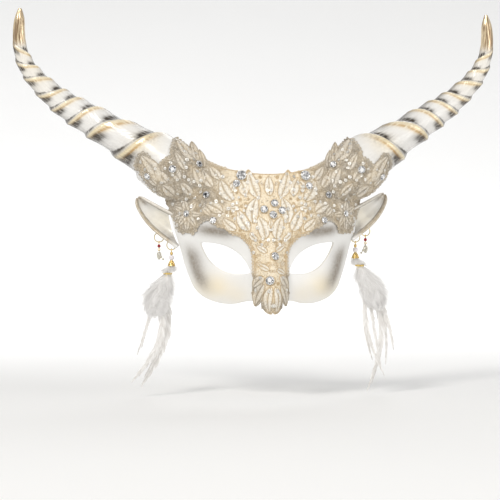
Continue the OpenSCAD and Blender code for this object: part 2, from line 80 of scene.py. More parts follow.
def add_camera():
    """The photograph's viewpoint: almost level, a little to the left of the face."""
    azimuth, elevation, distance = math.radians(-7.5), math.radians(1), 1.5
    target = Vector((-0.0144, 0.020, 0.006))
    data = bpy.data.cameras.new("camera")
    data.lens, data.sensor_width = 135, 36
    camera = bpy.data.objects.new("camera", data)
    camera.location = target + distance * Vector((
        math.sin(azimuth) * math.cos(elevation),
        -math.cos(azimuth) * math.cos(elevation),
        math.sin(elevation)))
    look_at(camera, target)
    bpy.context.scene.collection.objects.link(camera)
    bpy.context.scene.camera = camera


def add_light(name, place, size, power, color=(1, 1, 1), target=(0, 0.03, 0.04)):
    """A square soft box that faces the mask, or another target."""
    data = bpy.data.lights.new(name, "AREA")
    data.shape, data.size, data.energy, data.color = "SQUARE", size, power, color
    light = bpy.data.objects.new(name, data)
    light.location = place
    look_at(light, target)
    light.visible_camera = False
    bpy.context.scene.collection.objects.link(light)


def add_world(strength):
    world = bpy.data.worlds.new("studio")
    world.use_nodes = True
    background = world.node_tree.nodes["Background"]
    background.inputs["Color"].default_value = (1, 1, 1, 1)
    background.inputs["Strength"].default_value = strength
    bpy.context.scene.world = world


add_camera()
add_light("key", (-1.0, -1.3, 1.5), 0.55, 20, (1, 0.975, 0.935))
add_light("fill", (1.3, -1.1, 0.5), 1.0, 6, (1, 0.985, 0.96))
add_light("rim", (0.5, 1.3, 1.2), 0.9, 4)
add_light("backdrop", (0, 0.9, 1.5), 1.5, 26, target=(0, 3.2, 0.4))
add_world(0.5)
bpy.context.scene.view_settings.view_transform = "Standard"


# ---- numbers -----------------------------------------------------------------
def ramp(a, b, x):
    t = np.clip((np.asarray(x, float) - a) / (b - a), 0, 1)
    return t * t * (3 - 2 * t)


def bell(x, mid, width):
    return np.exp(-(((x - mid) / width) ** 2))


def unit(v):
    return v / (np.linalg.norm(v, axis=-1, keepdims=True) + 1e-12)


def mix(a, b, t):
    return a + (b - a) * t


def along(points, u):
    """Points at shares u of a smooth curve through a list of points."""
    p = np.asarray(points, float)
    n = len(p) - 1
    u = np.asarray(u, float)
    k = np.clip(np.floor(u * n), 0, n - 1).astype(int)
    t = (u * n - k)[..., None]
    a, b = p[np.maximum(k - 1, 0)], p[k]
    c, d = p[k + 1], p[np.minimum(k + 2, n)]
    return 0.5 * (2 * b + (c - a) * t + (2 * a - 5 * b + 4 * c - d) * t ** 2
                  + (3 * b - a - 3 * c + d) * t ** 3)


def bezier(p, t):
    p, t = np.asarray(p, float), np.asarray(t, float)[:, None]
    return ((1 - t) ** 3 * p[0] + 3 * t * (1 - t) ** 2 * p[1]
            + 3 * t ** 2 * (1 - t) * p[2] + t ** 3 * p[3])


def heading(points, u, step=0.01):
    """Unit direction, at shares u, of the smooth curve through a list of points."""
    ahead, behind = along(points, np.minimum(1, u + step)), along(points, np.maximum(0, u - step))
    return unit(ahead[..., :3] - behind[..., :3])


def round_z(r, a, z):
    """Points at radius r, angle a and height z round the Z axis."""
    return np.stack(np.broadcast_arrays(r * np.cos(a), r * np.sin(a), z), -1)


# ---- meshes ------------------------------------------------------------------
class Mesh:
    """Points in mm, faces with material numbers, and a value of each attribute per point."""

    def __init__(self):
        self.points, self.faces, self.looks, self.attrs, self.count = [], [], [], {}, 0

    def add(self, points, faces, look=0, **attrs):
        points = np.asarray(points, float).reshape(-1, 3)
        for f in faces if isinstance(faces, list) else [faces]:
            if len(f):
                self.faces.append(np.asarray(f, np.int64) + self.count)
                self.looks.append(np.full(len(f), look))
        for name, value in attrs.items():
            spread = np.broadcast_to(np.asarray(value, float), len(points))
            self.attrs.setdefault(name, []).append((self.count, spread))
        self.points.append(points)
        self.count += len(points)

    def object(self, name, materials, smooth=True):
        mesh = bpy.data.meshes.new(name)
        points = np.concatenate(self.points) * MM
        sizes = np.concatenate([np.full(len(f), f.shape[1]) for f in self.faces])
        mesh.vertices.add(len(points))
        mesh.vertices.foreach_set("co", points.astype(np.float32).ravel())
        mesh.loops.add(int(sizes.sum()))
        corners = np.concatenate([f.ravel() for f in self.faces])
        mesh.loops.foreach_set("vertex_index", corners.astype(np.int32))
        mesh.polygons.add(len(sizes))
        starts = np.concatenate([[0], np.cumsum(sizes)[:-1]])
        mesh.polygons.foreach_set("loop_start", starts.astype(np.int32))
        mesh.polygons.foreach_set("material_index", np.concatenate(self.looks).astype(np.int32))
        mesh.polygons.foreach_set("use_smooth", np.full(len(sizes), smooth))
        for key, parts in self.attrs.items():
            values = np.zeros(self.count, np.float32)
            for start, part in parts:
                values[start:start + len(part)] = part
            mesh.attributes.new(key, "FLOAT", "POINT").data.foreach_set("value", values)
        mesh.update(calc_edges=True)
        mesh.validate()
        for m in materials:
            mesh.materials.append(m)
        obj = bpy.data.objects.new(name, mesh)
        bpy.context.scene.collection.objects.link(obj)
        return obj


def grid_faces(rows, cols, wrap=False):
    """Quads over a grid of rows x cols points, closed round the columns if wrap."""
    i, j = np.meshgrid(np.arange(rows - 1), np.arange(cols if wrap else cols - 1), indexing="ij")
    k = (j + 1) % cols
    return np.stack([i * cols + j, i * cols + k, (i + 1) * cols + k, (i + 1) * cols + j], -1).reshape(-1, 4)


def closed_grid(rows, cols):
    """Quads round a run of rings, with a cap on the first and the last ring."""
    ring = np.arange(cols)[None]
    return [grid_faces(rows, cols, True), ring[:, ::-1], ring + (rows - 1) * cols]


def tube(path, radius, sides=6):
    """Points and faces of a round wire along a path; radius is one value or one per point."""
    path = np.asarray(path, float)
    n = len(path)
    closed = np.linalg.norm(path[0] - path[-1]) < 1e-6
    t = unit(np.gradient(path, axis=0))
    if closed:
        t[0] = t[-1] = unit(path[1] - path[-2])
    side = np.cross(t[0], [0.3, 0.5, 0.81])
    frames = []
    for k in range(n):
        side = side - t[k] * (side @ t[k])
        side = side / (np.linalg.norm(side) + 1e-12)
        frames.append(side)
    side = np.array(frames)
    up = np.cross(t, side)
    a = np.arange(sides) * 2 * np.pi / sides
    r = np.broadcast_to(np.asarray(radius, float), n)[:, None, None]
    ring = r * (np.cos(a)[None, :, None] * side[:, None] + np.sin(a)[None, :, None] * up[:, None])
    points = (path[:, None] + ring).reshape(-1, 3)
    faces = [grid_faces(n, sides, True)]
    if not closed:
        caps = np.arange(sides)
        faces.append(np.stack([caps[::-1], caps + (n - 1) * sides]))
    return points, faces


def lathe(profile, sides=48):
    """Points and faces of a turned shape from (radius, z) pairs, top to bottom."""
    profile = np.asarray(profile, float)
    a = np.arange(sides) * 2 * np.pi / sides
    points = round_z(profile[:, 0, None], a, profile[:, 1, None])
    return points.reshape(-1, 3), grid_faces(len(profile), sides, True)[:, ::-1]


def aim(points, place, direction):
    """Stands points made round +Z on a place, with +Z along a direction."""
    turn = np.array(Vector(direction).to_track_quat("Z", "Y").to_matrix())
    return np.asarray(points) @ turn.T + np.asarray(place)


# ---- materials ---------------------------------------------------------------
class Look:
    """A Principled material, with short ways to build its node chains."""

    def __init__(self, name, color, rough=0.5, metal=0.0, **sockets):
        self.material = bpy.data.materials.new(name)
        self.material.use_nodes = True
        self.tree = self.material.node_tree
        self.shader = self.tree.nodes["Principled BSDF"]
        self.color = (*color, 1)
        self.set(**{"Base Color": self.color, "Roughness": rough, "Metallic": metal})
        self.set(**{key.replace("_", " "): value for key, value in sockets.items()})
        self.place = self.tree.nodes.new("ShaderNodeTexCoord").outputs["Object"]

    def put(self, socket, value):
        if isinstance(value, bpy.types.NodeSocket):
            self.tree.links.new(value, socket)
        else:
            socket.default_value = (*value, 1) if isinstance(value, tuple) and len(value) == 3 \
                and socket.type == "RGBA" else value

    def set(self, **values):
        for key, value in values.items():
            self.put(self.shader.inputs[key], value)

    def node(self, kind, output, inputs, **settings):
        made = self.tree.nodes.new("ShaderNode" + kind)
        for key, value in settings.items():
            setattr(made, key, value)
        for key, value in inputs.items():
            self.put(made.inputs[key], value)
        return made.outputs[output]

    def attr(self, name):
        return self.node("Attribute", "Fac", {}, attribute_name=name)

    def noise(self, per_mm, detail=3, rough=0.55, place=None):
        return self.node("TexNoise", "Fac", {"Vector": place or self.place,
                         "Scale": per_mm / MM, "Detail": detail, "Roughness": rough})

    def fade(self, value, low, high, to_low=0.0, to_high=1.0):
        return self.node("MapRange", "Result", {"Value": value, "From Min": low,
                         "From Max": high, "To Min": to_low, "To Max": to_high}, clamp=True)

    def math(self, operation, a, b):
        return self.node("Math", 0, {0: a, 1: b}, operation=operation)

    def times(self, name, factor):
        """A named attribute of the mesh, times a factor."""
        return self.math("MULTIPLY", self.attr(name), factor)

    def over(self, factor, color):
        """Lays a colour over what the base colour is so far, by a factor."""
        made = self.tree.nodes.new("ShaderNodeMix")
        made.data_type = "RGBA"
        self.put(made.inputs[0], factor)
        self.put(made.inputs[6], self.color)
        self.put(made.inputs[7], (*color, 1) if isinstance(color, tuple) else color)
        self.color = made.outputs[2]
        self.set(**{"Base Color": self.color})

    def roughen(self, factor, low, high):
        self.set(Roughness=self.fade(factor, 0, 1, low, high))

    def bump(self, height, depth_mm, strength=1.0):
        below = self.shader.inputs["Normal"]
        inputs = {"Height": height, "Distance": depth_mm * MM, "Strength": strength}
        if below.is_linked:
            inputs["Normal"] = below.links[0].from_socket
        self.put(below, self.node("Bump", "Normal", inputs))


def shell_paint():
    """White lacquer with a cream glow and soft taupe shading; raw inside."""
    look = Look("shell_paint", (0.87, 0.862, 0.84), 0.3, Coat_Weight=0.25, Coat_Roughness=0.15)
    mottle = look.noise(0.06, 4)
    look.over(look.times("cream", look.fade(mottle, 0.2, 0.7, 0.7, 1)),
              (0.9, 0.78, 0.55))
    grain = look.noise(0.5, 5, 0.7)
    look.over(look.times("taupe", look.fade(grain, 0.3, 0.6, 0.75, 1)),
              (0.27, 0.23, 0.185))
    look.over(look.fade(look.noise(0.9, 4, 0.7), 0.58, 0.75, 0, 0.12), (0.62, 0.6, 0.57))
    look.over(look.attr("inside"), (0.6, 0.55, 0.46))
    look.over(look.times("inside", look.fade(grain, 0.35, 0.65)),
              (0.7, 0.66, 0.58))
    look.roughen(look.noise(0.2, 4), 0.2, 0.46)
    look.bump(look.noise(0.12, 3), 0.25, 0.35)
    look.bump(look.noise(1.5, 3), 0.03, 0.6)
    return look.material


def horn_paint():
    """Glossy white with gilded ridges and a champagne tip; painted shade and dark reflections darken the
    notches and the silhouette sides, and speckled painted shade lies under the root.
    """
    look = Look("horn_paint", (0.87, 0.855, 0.825), 0.28, Coat_Weight=0.25, Coat_Roughness=0.1)
    lengthwise = look.node("CombineXYZ", 0, {"X": look.attr("round_x"),
                           "Y": look.attr("round_y"), "Z": look.attr("run")})
    streaks = look.noise(3 * MM, 4, 0.6, lengthwise)
    fine = look.noise(9 * MM, 4, 0.7, lengthwise)
    patches = look.noise(0.11, 4, 0.6)
    look.over(look.times("cream", look.fade(patches, 0.25, 0.6, 0.5, 1)),
              (0.9, 0.76, 0.5))
    # Speckled grey: painted shade under the root and on the silhouette sides, and a grey patch near the
    # root.
    speckle = look.fade(look.noise(0.45, 6, 0.75), 0.42, 0.62)
    look.over(look.times("mottle", speckle), (0.33, 0.3, 0.27))
    look.over(look.times("ridged", look.fade(fine, 0.5, 0.7, 0, 0.3)),
              (0.62, 0.56, 0.52))
    gold = look.times("gold", look.fade(streaks, 0.3, 0.5, 0.7, 1))
    look.over(gold, (1, 0.85, 0.56))
    look.over(look.times("fringe", look.fade(fine, 0.36, 0.5)), (0.5, 0.28, 0.07))
    tip = look.times("tip", look.fade(fine, 0.25, 0.5, 0.8, 1))
    look.over(tip, (0.86, 0.7, 0.46))
    look.over(look.math("MULTIPLY", tip, look.fade(streaks, 0.46, 0.56)), (0.32, 0.21, 0.12))
    # Painted shade and dark reflections: near black at the ridges' notches and on the silhouette sides seen
    # from the front.
    horn_shade = look.times("horn_shade", look.fade(fine, 0.35, 0.52, 0.35, 1))
    look.over(horn_shade, (0.05, 0.038, 0.026))
    look.set(Metallic=look.math("MAXIMUM", look.fade(gold, 0, 1, 0, 0.4),
                                look.fade(tip, 0, 1, 0, 0.6)))
    look.roughen(streaks, 0.14, 0.4)
    look.bump(streaks, 0.35, 0.4)
    look.bump(fine, 0.1, 0.5)
    return look.material


def ear_paint():
    """White with a cream hollow and rims rubbed with grey gold; painted shade darkens the creases inside
    the rims, the lower side near the root, the hollow under the upper rim near the tip, and patches of the
    hollow.
    """
    look = Look("ear_paint", (0.86, 0.85, 0.82), 0.32, Coat_Weight=0.3, Coat_Roughness=0.12)
    worn = look.fade(look.noise(0.35, 5, 0.7), 0.3, 0.62, 0.45, 1)
    look.over(look.times("hollow", 0.7), (0.9, 0.84, 0.7))
    # Grey patches in the hollow: painted shade in the cup.
    look.over(look.times("hollow", look.fade(look.noise(0.12, 3), 0.42, 0.6, 0, 0.35)),
              (0.55, 0.53, 0.5))
    look.over(look.times("rim", worn), (0.5, 0.41, 0.28))
    # Dark brown: painted shade in the creases inside the rims, under the upper rim near the tip and on the
    # lower side near the root.
    look.over(look.times("line", look.fade(worn, 0.4, 1, 0.45, 0.95)), (0.16, 0.12, 0.08))
    look.set(Metallic=look.times("rim", 0.35))
    look.over(look.fade(look.noise(0.8, 4, 0.7), 0.6, 0.75, 0, 0.15), (0.6, 0.57, 0.52))
    look.roughen(look.noise(0.3, 4), 0.22, 0.5)
    look.bump(look.noise(0.25, 3), 0.2, 0.4)
    return look.material


def lace_look(name, centre, side, rough, glints_and_grain, bump_mm, per_mm, **sockets):
    """Thread in the centre's colour, which greys to the side's towards the horns, partly the side thread's
    own taupe-silver and partly painted shade where the lace turns away from the light.
    """
    look = Look(name, centre, rough, **sockets)
    # Greying towards the sides: partly the side thread's own taupe-silver, partly painted shade where the
    # lace turns away from the light.
    look.over(look.attr("shade"), side)
    # Painted shade in the pads' low seams, along their rims and middle veins.
    look.over(look.times("edge", 0.75), (0.27, 0.2, 0.12))
    warm = look.noise(0.1, 3)
    look.over(look.fade(warm, 0.4, 0.7, 0, 0.35), (0.78, 0.6, 0.34))
    thread = look.noise(per_mm, 4, 0.7)
    # Light thread speckles are painted glints of the metallic thread; dark ones are thread grain.
    look.over(look.fade(thread, 0.53, 0.66, 0, glints_and_grain), (0.97, 0.94, 0.88))
    look.over(look.fade(thread, 0.46, 0.34, 0, glints_and_grain), (0.24, 0.17, 0.1))
    look.roughen(thread, rough - 0.2, rough + 0.15)
    look.bump(look.noise(per_mm * 1.6, 3), bump_mm, 0.8)
    return look.material


def metal(name, color, rough, worn=(0.5, 0.45, 0.35), wear=0.25):
    look = Look(name, color, rough, 1.0)
    look.over(look.fade(look.noise(0.7, 4, 0.7), 0.5, 0.75, 0, wear), worn)
    look.roughen(look.noise(1.1, 4), rough * 0.6, rough * 1.6)
    look.bump(look.noise(2.2, 3), 0.02, 0.5)
    return look.material


def feather_look(name, color, root):
    """Barbs with a faint even emission, a painted glow that stands in for light coming through them, and
    painted shade in the root colour where their depth value is high.
    """
    look = Look(name, color, 0.62, Sheen_Weight=0.6, Sheen_Roughness=0.5,
                Emission_Color=(1, 0.985, 0.965), Emission_Strength=0.07)
    # Painted shade: mixes towards the darker root colour where depth is high.
    look.over(look.times("depth", 0.7), root)
    look.over(look.fade(look.noise(0.5, 3), 0.4, 0.7, 0, 0.15), (0.86, 0.83, 0.79))
    look.roughen(look.noise(0.8, 3), 0.5, 0.75)
    look.bump(look.noise(3, 2), 0.03, 0.4)
    return look.material


def pearl_look():
    look = Look("pearl", (0.9, 0.87, 0.85), 0.16, Coat_Weight=1.0, Coat_Roughness=0.05,
                Sheen_Weight=0.3)
    # Lilac and cream patches: painted reflections of the pearl's iridescence.
    look.over(look.fade(look.noise(0.3, 2), 0.35, 0.6), (0.82, 0.76, 0.88))
    look.over(look.fade(look.noise(0.45, 2), 0.5, 0.7, 0, 0.7), (0.93, 0.87, 0.76))
    look.roughen(look.noise(0.6, 3), 0.1, 0.25)
    look.bump(look.noise(0.9, 2), 0.02, 0.3)
    return look.material


def wood_look():
    look = Look("plug_wood", (0.55, 0.38, 0.21), 0.6)
    look.over(look.fade(look.noise(0.25, 5, 0.7), 0.4, 0.65), (0.36, 0.22, 0.1))
    look.roughen(look.noise(0.6, 4), 0.45, 0.75)
    look.bump(look.noise(0.8, 4), 0.15, 0.6)
    return look.material


def floor_look():
    look = Look("floor", (0.97, 0.97, 0.965), 0.7)
    look.over(look.fade(look.noise(0.002, 3), 0.4, 0.7, 0, 0.3), (0.94, 0.94, 0.935))
    look.roughen(look.noise(0.01, 3), 0.6, 0.8)
    return look.material


def red_glass():
    look = Look("red_glass", (0.6, 0.02, 0.04), 0.02, IOR=1.55, Transmission_Weight=0.85)
    look.over(look.fade(look.noise(0.4, 2), 0.4, 0.7, 0, 0.3), (0.54, 0.018, 0.036))
    look.roughen(look.noise(0.5, 2), 0.02, 0.05)
    return look.material


def crystal_look():
    """Cut glass whose facets, picked at random, are clear, painted white as glints or painted dark as
    reflections.
    """
    look = Look("crystal", (0.98, 0.98, 0.985), 0.02, IOR=1.55)
    # Painted light per facet: a random number picks clear glass, a white glint or a dark reflection.
    flash = look.fade(look.attr("tone"), 0.36, 0.4)
    look.over(look.fade(look.attr("tone"), 0.8, 0.84), (0.03, 0.03, 0.034))
    look.over(look.fade(look.noise(0.6, 2), 0.45, 0.7, 0, 0.15), (0.84, 0.86, 0.9))
    look.set(**{"Transmission Weight": look.fade(flash, 0, 1, 0.85, 0.08)})
    look.roughen(look.noise(0.5, 2), 0.01, 0.06)
    return look.material


def foil_look():
    """Mirror foil, some of whose facets, picked at random, are painted dark as reflections."""
    look = Look("stone_foil", (0.97, 0.97, 0.97), 0.06, 0.55)
    look.over(look.fade(look.attr("tone"), 0.34, 0.3), (0.02, 0.02, 0.022))
    look.over(look.fade(look.noise(0.8, 2), 0.45, 0.7, 0, 0.2), (0.8, 0.81, 0.84))
    look.roughen(look.noise(1.1, 3), 0.04, 0.12)
    return look.material


SHELL, HORN, EAR = shell_paint(), horn_paint(), ear_paint()
TULLE = lace_look("lace_tulle", (0.93, 0.81, 0.61), (0.45, 0.39, 0.305), 0.62, 0.8, 0.12, 0.9,
                  Sheen_Weight=0.25)
CORD = lace_look("lace_cord", (0.68, 0.5, 0.27), (0.42, 0.365, 0.285), 0.5, 0.5, 0.1, 1.4,
                 Sheen_Weight=0.2)
SATIN = lace_look("lace_satin", (0.98, 0.92, 0.8), (0.74, 0.68, 0.58), 0.5, 0.8, 0.1, 0.9,
                  Sheen_Weight=0.2)
SEQUIN = metal("sequin", (0.95, 0.92, 0.86), 0.34, (0.85, 0.76, 0.6), 0.3)
GILT = metal("gilt", (0.86, 0.64, 0.26), 0.22, (0.5, 0.34, 0.12))
PALE_GILT = metal("pale_gilt", (0.84, 0.74, 0.5), 0.2, (0.5, 0.42, 0.28))
SILVER = metal("silver", (0.72, 0.69, 0.6), 0.25, (0.35, 0.31, 0.24), 0.5)
CUP = metal("stone_cup", (0.88, 0.88, 0.88), 0.2, (0.5, 0.5, 0.5), 0.3)
FOIL = foil_look()
STEEL = metal("steel", (0.55, 0.55, 0.56), 0.32, (0.35, 0.34, 0.33), 0.4)
CRYSTAL = crystal_look()
RED = red_glass()
PEARL = pearl_look()
# The second colour of each is the painted shade colour, mixed in by depth.
DOWN = feather_look("down", (1, 0.995, 0.99), (0.62, 0.6, 0.58))
HACKLE = feather_look("hackle", (1, 0.992, 0.98), (0.56, 0.53, 0.49))
THREAD = metal("gold_thread", (0.85, 0.66, 0.25), 0.35, (0.45, 0.3, 0.1), 0.5)
WOOD = wood_look()


def piece(obj, body, slot, *replaced):
    """Puts a finished piece on its body and hides the CAD nodes that it stands for."""
    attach(obj, body)
    if replaced:
        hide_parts(*replaced)
    return obj


def add_floor():
    """A wide pale floor that curves up into a wall all round, below the lowest feather."""
    low = cad_box[0][2] / MM - 3
    reach = np.concatenate([[1, 300, 700], np.linspace(1100, 4200, 32)])
    rise = 1500 * np.clip((reach - 1100) / 3100, 0, 1) ** 2
    points, faces = lathe(np.stack([reach, low + rise], 1)[::-1], 96)
    made = Mesh()
    made.add(points, faces[:, ::-1])
    made.add([[0, 0, low]] + [[math.cos(a), math.sin(a), low] for a in np.radians(range(0, 360, 10))],
             np.array([[0, 1 + k, 1 + (k + 1) % 36] for k in range(36)]))
    made.object("floor", [floor_look()])


add_floor()

# ---- the face shell ----------------------------------------------------------
TEMPLE_W, CHEEK_W, FACE_DEPTH, SHELL_T, NOSE_H = 88, 76, 62, 2.2, 17
# Steps round the half-round edges of the shell and ears, between the two skins
RIM_STEPS = 7
EYE_MID = np.array([35.0, 0.0])
EYE_TOP = [[16.3, -11.6], [21, 5], [35, 12], [53.6, 11.4]]
EYE_LOW = [[53.6, 11.4], [48.5, -4], [38, -15.8], [16.3, -11.6]]
SIDE_EDGE = [[72, 96], [78, 88], [81, 74], [81, 58], [78.5, 40], [74.5, 22], [70, 8],
             [66.5, -5], [63.5, -14], [59.3, -24], [53.6, -30.5], [46, -34.6], [37, -37],
             [27, -37], [19, -35], [12, -35], [6, -38], [0, -40]]


def relief(x, z):
    """How far the front skin lies behind the front of a flat mask, at a place."""
    half = mix(CHEEK_W, TEMPLE_W, ramp(-30, 40, z))
    nose = 4 * ramp(52, 22, z) + NOSE_H * ramp(22, -36, z)
    ax = np.abs(x)
    return (FACE_DEPTH * (1 - np.sqrt(np.maximum(0.03, 1 - (x / half) ** 2)))
            + 0.0034 * np.maximum(0, z - 14) ** 2 + 0.0045 * np.maximum(0, -z - 8) ** 2
            - nose * bell(x, 0, 9 + 3 * ramp(10, -30, z))
            - 3 * bell(z, 20 + 0.1 * ax, 9) * ramp(4, 16, ax) * ramp(70, 52, ax)
            + 3.2 * bell(ax, 36, 20) * bell(z, -1, 12)
            - 2.4 * bell(ax, 38, 20) * bell(z, -25, 11))


RELIEF_SEAT = float(relief(np.array(0.0), np.array(0.0)))


def face_y(x, z):
    return relief(x, z) - RELIEF_SEAT - SHELL_T


def face_point(q):
    return np.stack([q[..., 0], face_y(q[..., 0], q[..., 1]), q[..., 1]], -1)


def face_normal(q, e=0.25):
    x, z = q[..., 0], q[..., 1]
    return unit(np.stack([face_y(x + e, z) - face_y(x - e, z), np.full(x.shape, -2 * e),
                          face_y(x, z + e) - face_y(x, z - e)], -1))


def brow_edge(x):
    return 66.4 + 0.0048 * x ** 2 + 4e-7 * x ** 4


def polar(p):
    d = np.asarray(p) - EYE_MID
    return np.degrees(np.arctan2(d[..., 1], d[..., 0])), np.hypot(d[..., 0], d[..., 1])


brow_x = np.linspace(0, 66, 45)
OUTLINE = np.concatenate([np.stack([brow_x, brow_edge(brow_x)], 1),
                          along(SIDE_EDGE, np.linspace(0, 1, 260))])[::-1]


def shell_grid(rows):
    """Places (x, z) of the +X half from the eye hole out, and which reach the outer edge."""
    edge_a, edge_r = polar(OUTLINE)
    low, high = edge_a[0], edge_a[-1]
    eye_in, eye_out = polar(EYE_TOP[0])[0], polar(EYE_TOP[3])[0]
    back = np.linspace(1, 0, 90)
    eye_a, eye_r = polar(np.concatenate([bezier(EYE_LOW, back), bezier(EYE_TOP, back)[1:]]))
    over_top = np.arange(len(eye_a)) >= len(back)
    eye_a = np.where(over_top & (eye_a <= eye_in + 0.01), eye_a + 360, eye_a)
    a = np.concatenate([np.linspace(eye_in, low, 10)[:-1], np.linspace(low, eye_out, 170)[:-1],
                        np.linspace(eye_out, high, 110)[:-1], np.linspace(high, eye_in + 360, 70)[:-1]])
    middle = (a < low - 1e-6) | (a > high + 1e-6)
    rad = np.radians(a)
    spoke = np.stack([np.cos(rad), np.sin(rad)], 1)
    to_middle = -EYE_MID[0] / np.minimum(np.cos(rad), -1e-3)
    far_r = np.where(middle, to_middle, np.interp(a, edge_a, edge_r))
    near = EYE_MID + np.interp(a, eye_a, eye_r)[:, None] * spoke
    far = EYE_MID + far_r[:, None] * spoke
    inset = 0.5 * SHELL_T
    round_eye = unit(np.roll(near, -1, 0) - np.roll(near, 1, 0))
    near = near + inset * np.stack([round_eye[:, 1], -round_eye[:, 0]], 1)
    run = unit(np.gradient(far, axis=0))
    out = np.stack([run[:, 1], -run[:, 0]], 1)
    ends = np.abs(far[:, 0]) < 0.3
    out[ends & ~middle] = unit(out[ends & ~middle] * [0, 1])
    far = np.where(middle[:, None], far, far - inset * out)
    far[:, 0] = np.where(ends, 0, far[:, 0])
    s = np.linspace(0, 1, rows)[:, None, None] ** 1.1
    return mix(near[None], far[None], s), middle


def shell_marks(q):
    """Painted shading at places (x, z): cream glow and taupe airbrush."""
    ax, z = np.abs(q[..., 0]), q[..., 1]
    cheek = np.interp(z, [-40, -24, -10, 5, 16], [46, 56, 61.5, 65.5, 69])
    within = ax - cheek + 3.8
    taupe = 0.95 * bell(within, 0, np.where(within > 0, 3.6, 7)) * ramp(16, -1, z) * ramp(-33, -15, z)
    taupe += 1.05 * bell(z, 19.5 + 0.13 * (ax - 30), 4.6) * ramp(22, 38, ax) * ramp(64, 48, ax)
    taupe += 0.3 * bell(ax, cheek + 6, 4) * ramp(-5, 4, z) * ramp(20, 10, z)
    cream = 0.8 * bell(ax, 44, 13) * bell(z, -23, 10) + 0.35 * bell(ax, 25, 9) * bell(z, -30, 9)
    cream += 0.5 * ramp(30, 44, z) * ramp(60, 30, ax)
    return np.clip(taupe, 0, 1), np.clip(cream, 0, 1)


def build_shell():
    """Skins in front and behind joined by rounded rims, then mirrored and closed at the middle."""
    q, middle = shell_grid(46)
    rows, cols = q.shape[:2]
    front, normal = face_point(q), face_normal(q)
    back = front - SHELL_T * normal
    mid = front - 0.5 * SHELL_T * normal

    def rim(row, inner_row):
        """Half round from the front skin over the edge to the back skin."""
        away = unit(mid[row] - mid[inner_row])
        away = unit(away - normal[row] * (away * normal[row]).sum(-1, keepdims=True))
        phi = np.linspace(0, np.pi, RIM_STEPS + 2)[1:-1, None, None]
        return mid[row] + 0.5 * SHELL_T * (np.cos(phi) * normal[row] + np.sin(phi) * away)

    loop = np.concatenate([front, rim(rows - 1, rows - 2), back[::-1], rim(0, 1)[::-1]])
    count = len(loop)
    turn = np.linspace(0, 1, RIM_STEPS + 2)[1:-1]
    inside = np.concatenate([np.zeros(rows), turn, np.ones(rows), turn[::-1]])
    marks = {"inside": np.repeat(inside, cols)}
    for name, mark in zip(("taupe", "cream"), shell_marks(q)):
        marks[name] = np.concatenate([mark, np.tile(mark[-1], (RIM_STEPS, 1)), 0 * mark,
                                      np.tile(mark[0], (RIM_STEPS, 1))]).ravel()
    index = np.arange(count * cols).reshape(count, cols)
    nxt = np.roll(index, -1, 0)
    quads = np.stack([index, nxt, np.roll(nxt, -1, 1), np.roll(index, -1, 1)], -1)
    on_mid = middle | (np.abs(q[-1, :, 0]) < 1e-6)
    use = np.ones((count, cols), bool)
    use[rows - 1:rows + RIM_STEPS, on_mid & np.roll(on_mid, -1)] = False
    quads = quads[use]
    made = Mesh()
    for sign in (1, -1):
        made.add(loop.reshape(-1, 3) * [sign, 1, 1], quads if sign < 0 else quads[:, ::-1], **marks)
    obj = made.object("shell", [SHELL])
    bm = bmesh.new()
    bm.from_mesh(obj.data)
    centre = [v for v in bm.verts if abs(v.co.x) < 2e-5]
    bmesh.ops.remove_doubles(bm, verts=centre, dist=2e-5)
    bmesh.ops.recalc_face_normals(bm, faces=bm.faces)
    bm.to_mesh(obj.data)
    bm.free()
    return piece(obj, "mask", "shell_paint", "mask_shell")


shell = build_shell()

# ---- cutting horns and ears to the shell -------------------------------------
EDGE_X = along(SIDE_EDGE, np.linspace(0, 1, 260))
# Gap between the shell's side edge and the horns and ears, and where the face's curve is held
EDGE_GAP, FACE_REACH = 0.4, 82


def outline_x(z):
    """Half-width of the shell at a height."""
    return np.interp(z, EDGE_X[::-1, 1], EDGE_X[::-1, 0])


def cut_to_shell(obj):
    """Cuts off what the wearer's head and the shell take up, and closes the cut."""
    bm = bmesh.new()
    bm.from_mesh(obj.data)

    def shift(axis, sign, amount):
        co = np.array([v.co[:] for v in bm.verts]) / MM
        co[:, axis] += sign * amount(co)
        for v, c in zip(bm.verts, co * MM):
            v.co = c

    def edge_x(co):
        return outline_x(co[:, 2]) + EDGE_GAP

    def skin_y(co):
        return face_y(np.minimum(co[:, 0], FACE_REACH), co[:, 2]) + 0.5 * SHELL_T

    shift(0, -1, edge_x)
    bmesh.ops.bisect_plane(bm, geom=bm.verts[:] + bm.edges[:] + bm.faces[:], dist=1e-7,
                           plane_co=(0, 0, 0), plane_no=(1, 0, 0))
    inner = [f for f in bm.faces if f.calc_center_median().x < 0]
    bmesh.ops.split(bm, geom=inner)
    rim = [e for e in bm.edges if e.is_boundary and all(abs(v.co.x) < 1e-6 for v in e.verts)
           and e.link_faces[0].calc_center_median().x > 0]
    if rim:
        bmesh.ops.triangle_fill(bm, edges=rim, use_beauty=True)
    shift(0, 1, edge_x)

    def beyond(co):
        """How far a point in metres is outside the shell's side edge, in mm."""
        return co.x / MM - outline_x(co.z / MM) - EDGE_GAP

    inner = [f for f in bm.faces if beyond(f.calc_center_median()) < -1e-4
             and not all(abs(beyond(v.co)) < 1e-3 for v in f.verts)]
    shift(1, -1, skin_y)
    geom = list({e for f in inner for e in f.edges} | {v for f in inner for v in f.verts})
    bmesh.ops.bisect_plane(bm, geom=geom + inner, dist=1e-7, plane_co=(0, 0, 0),
                           plane_no=(0, 1, 0), clear_outer=True)
    shift(1, 1, skin_y)
    bmesh.ops.remove_doubles(bm, verts=bm.verts, dist=1e-6)
    bm.to_mesh(obj.data)
    bm.free()
    obj.data.polygons.foreach_set("use_smooth", np.full(len(obj.data.polygons), True))


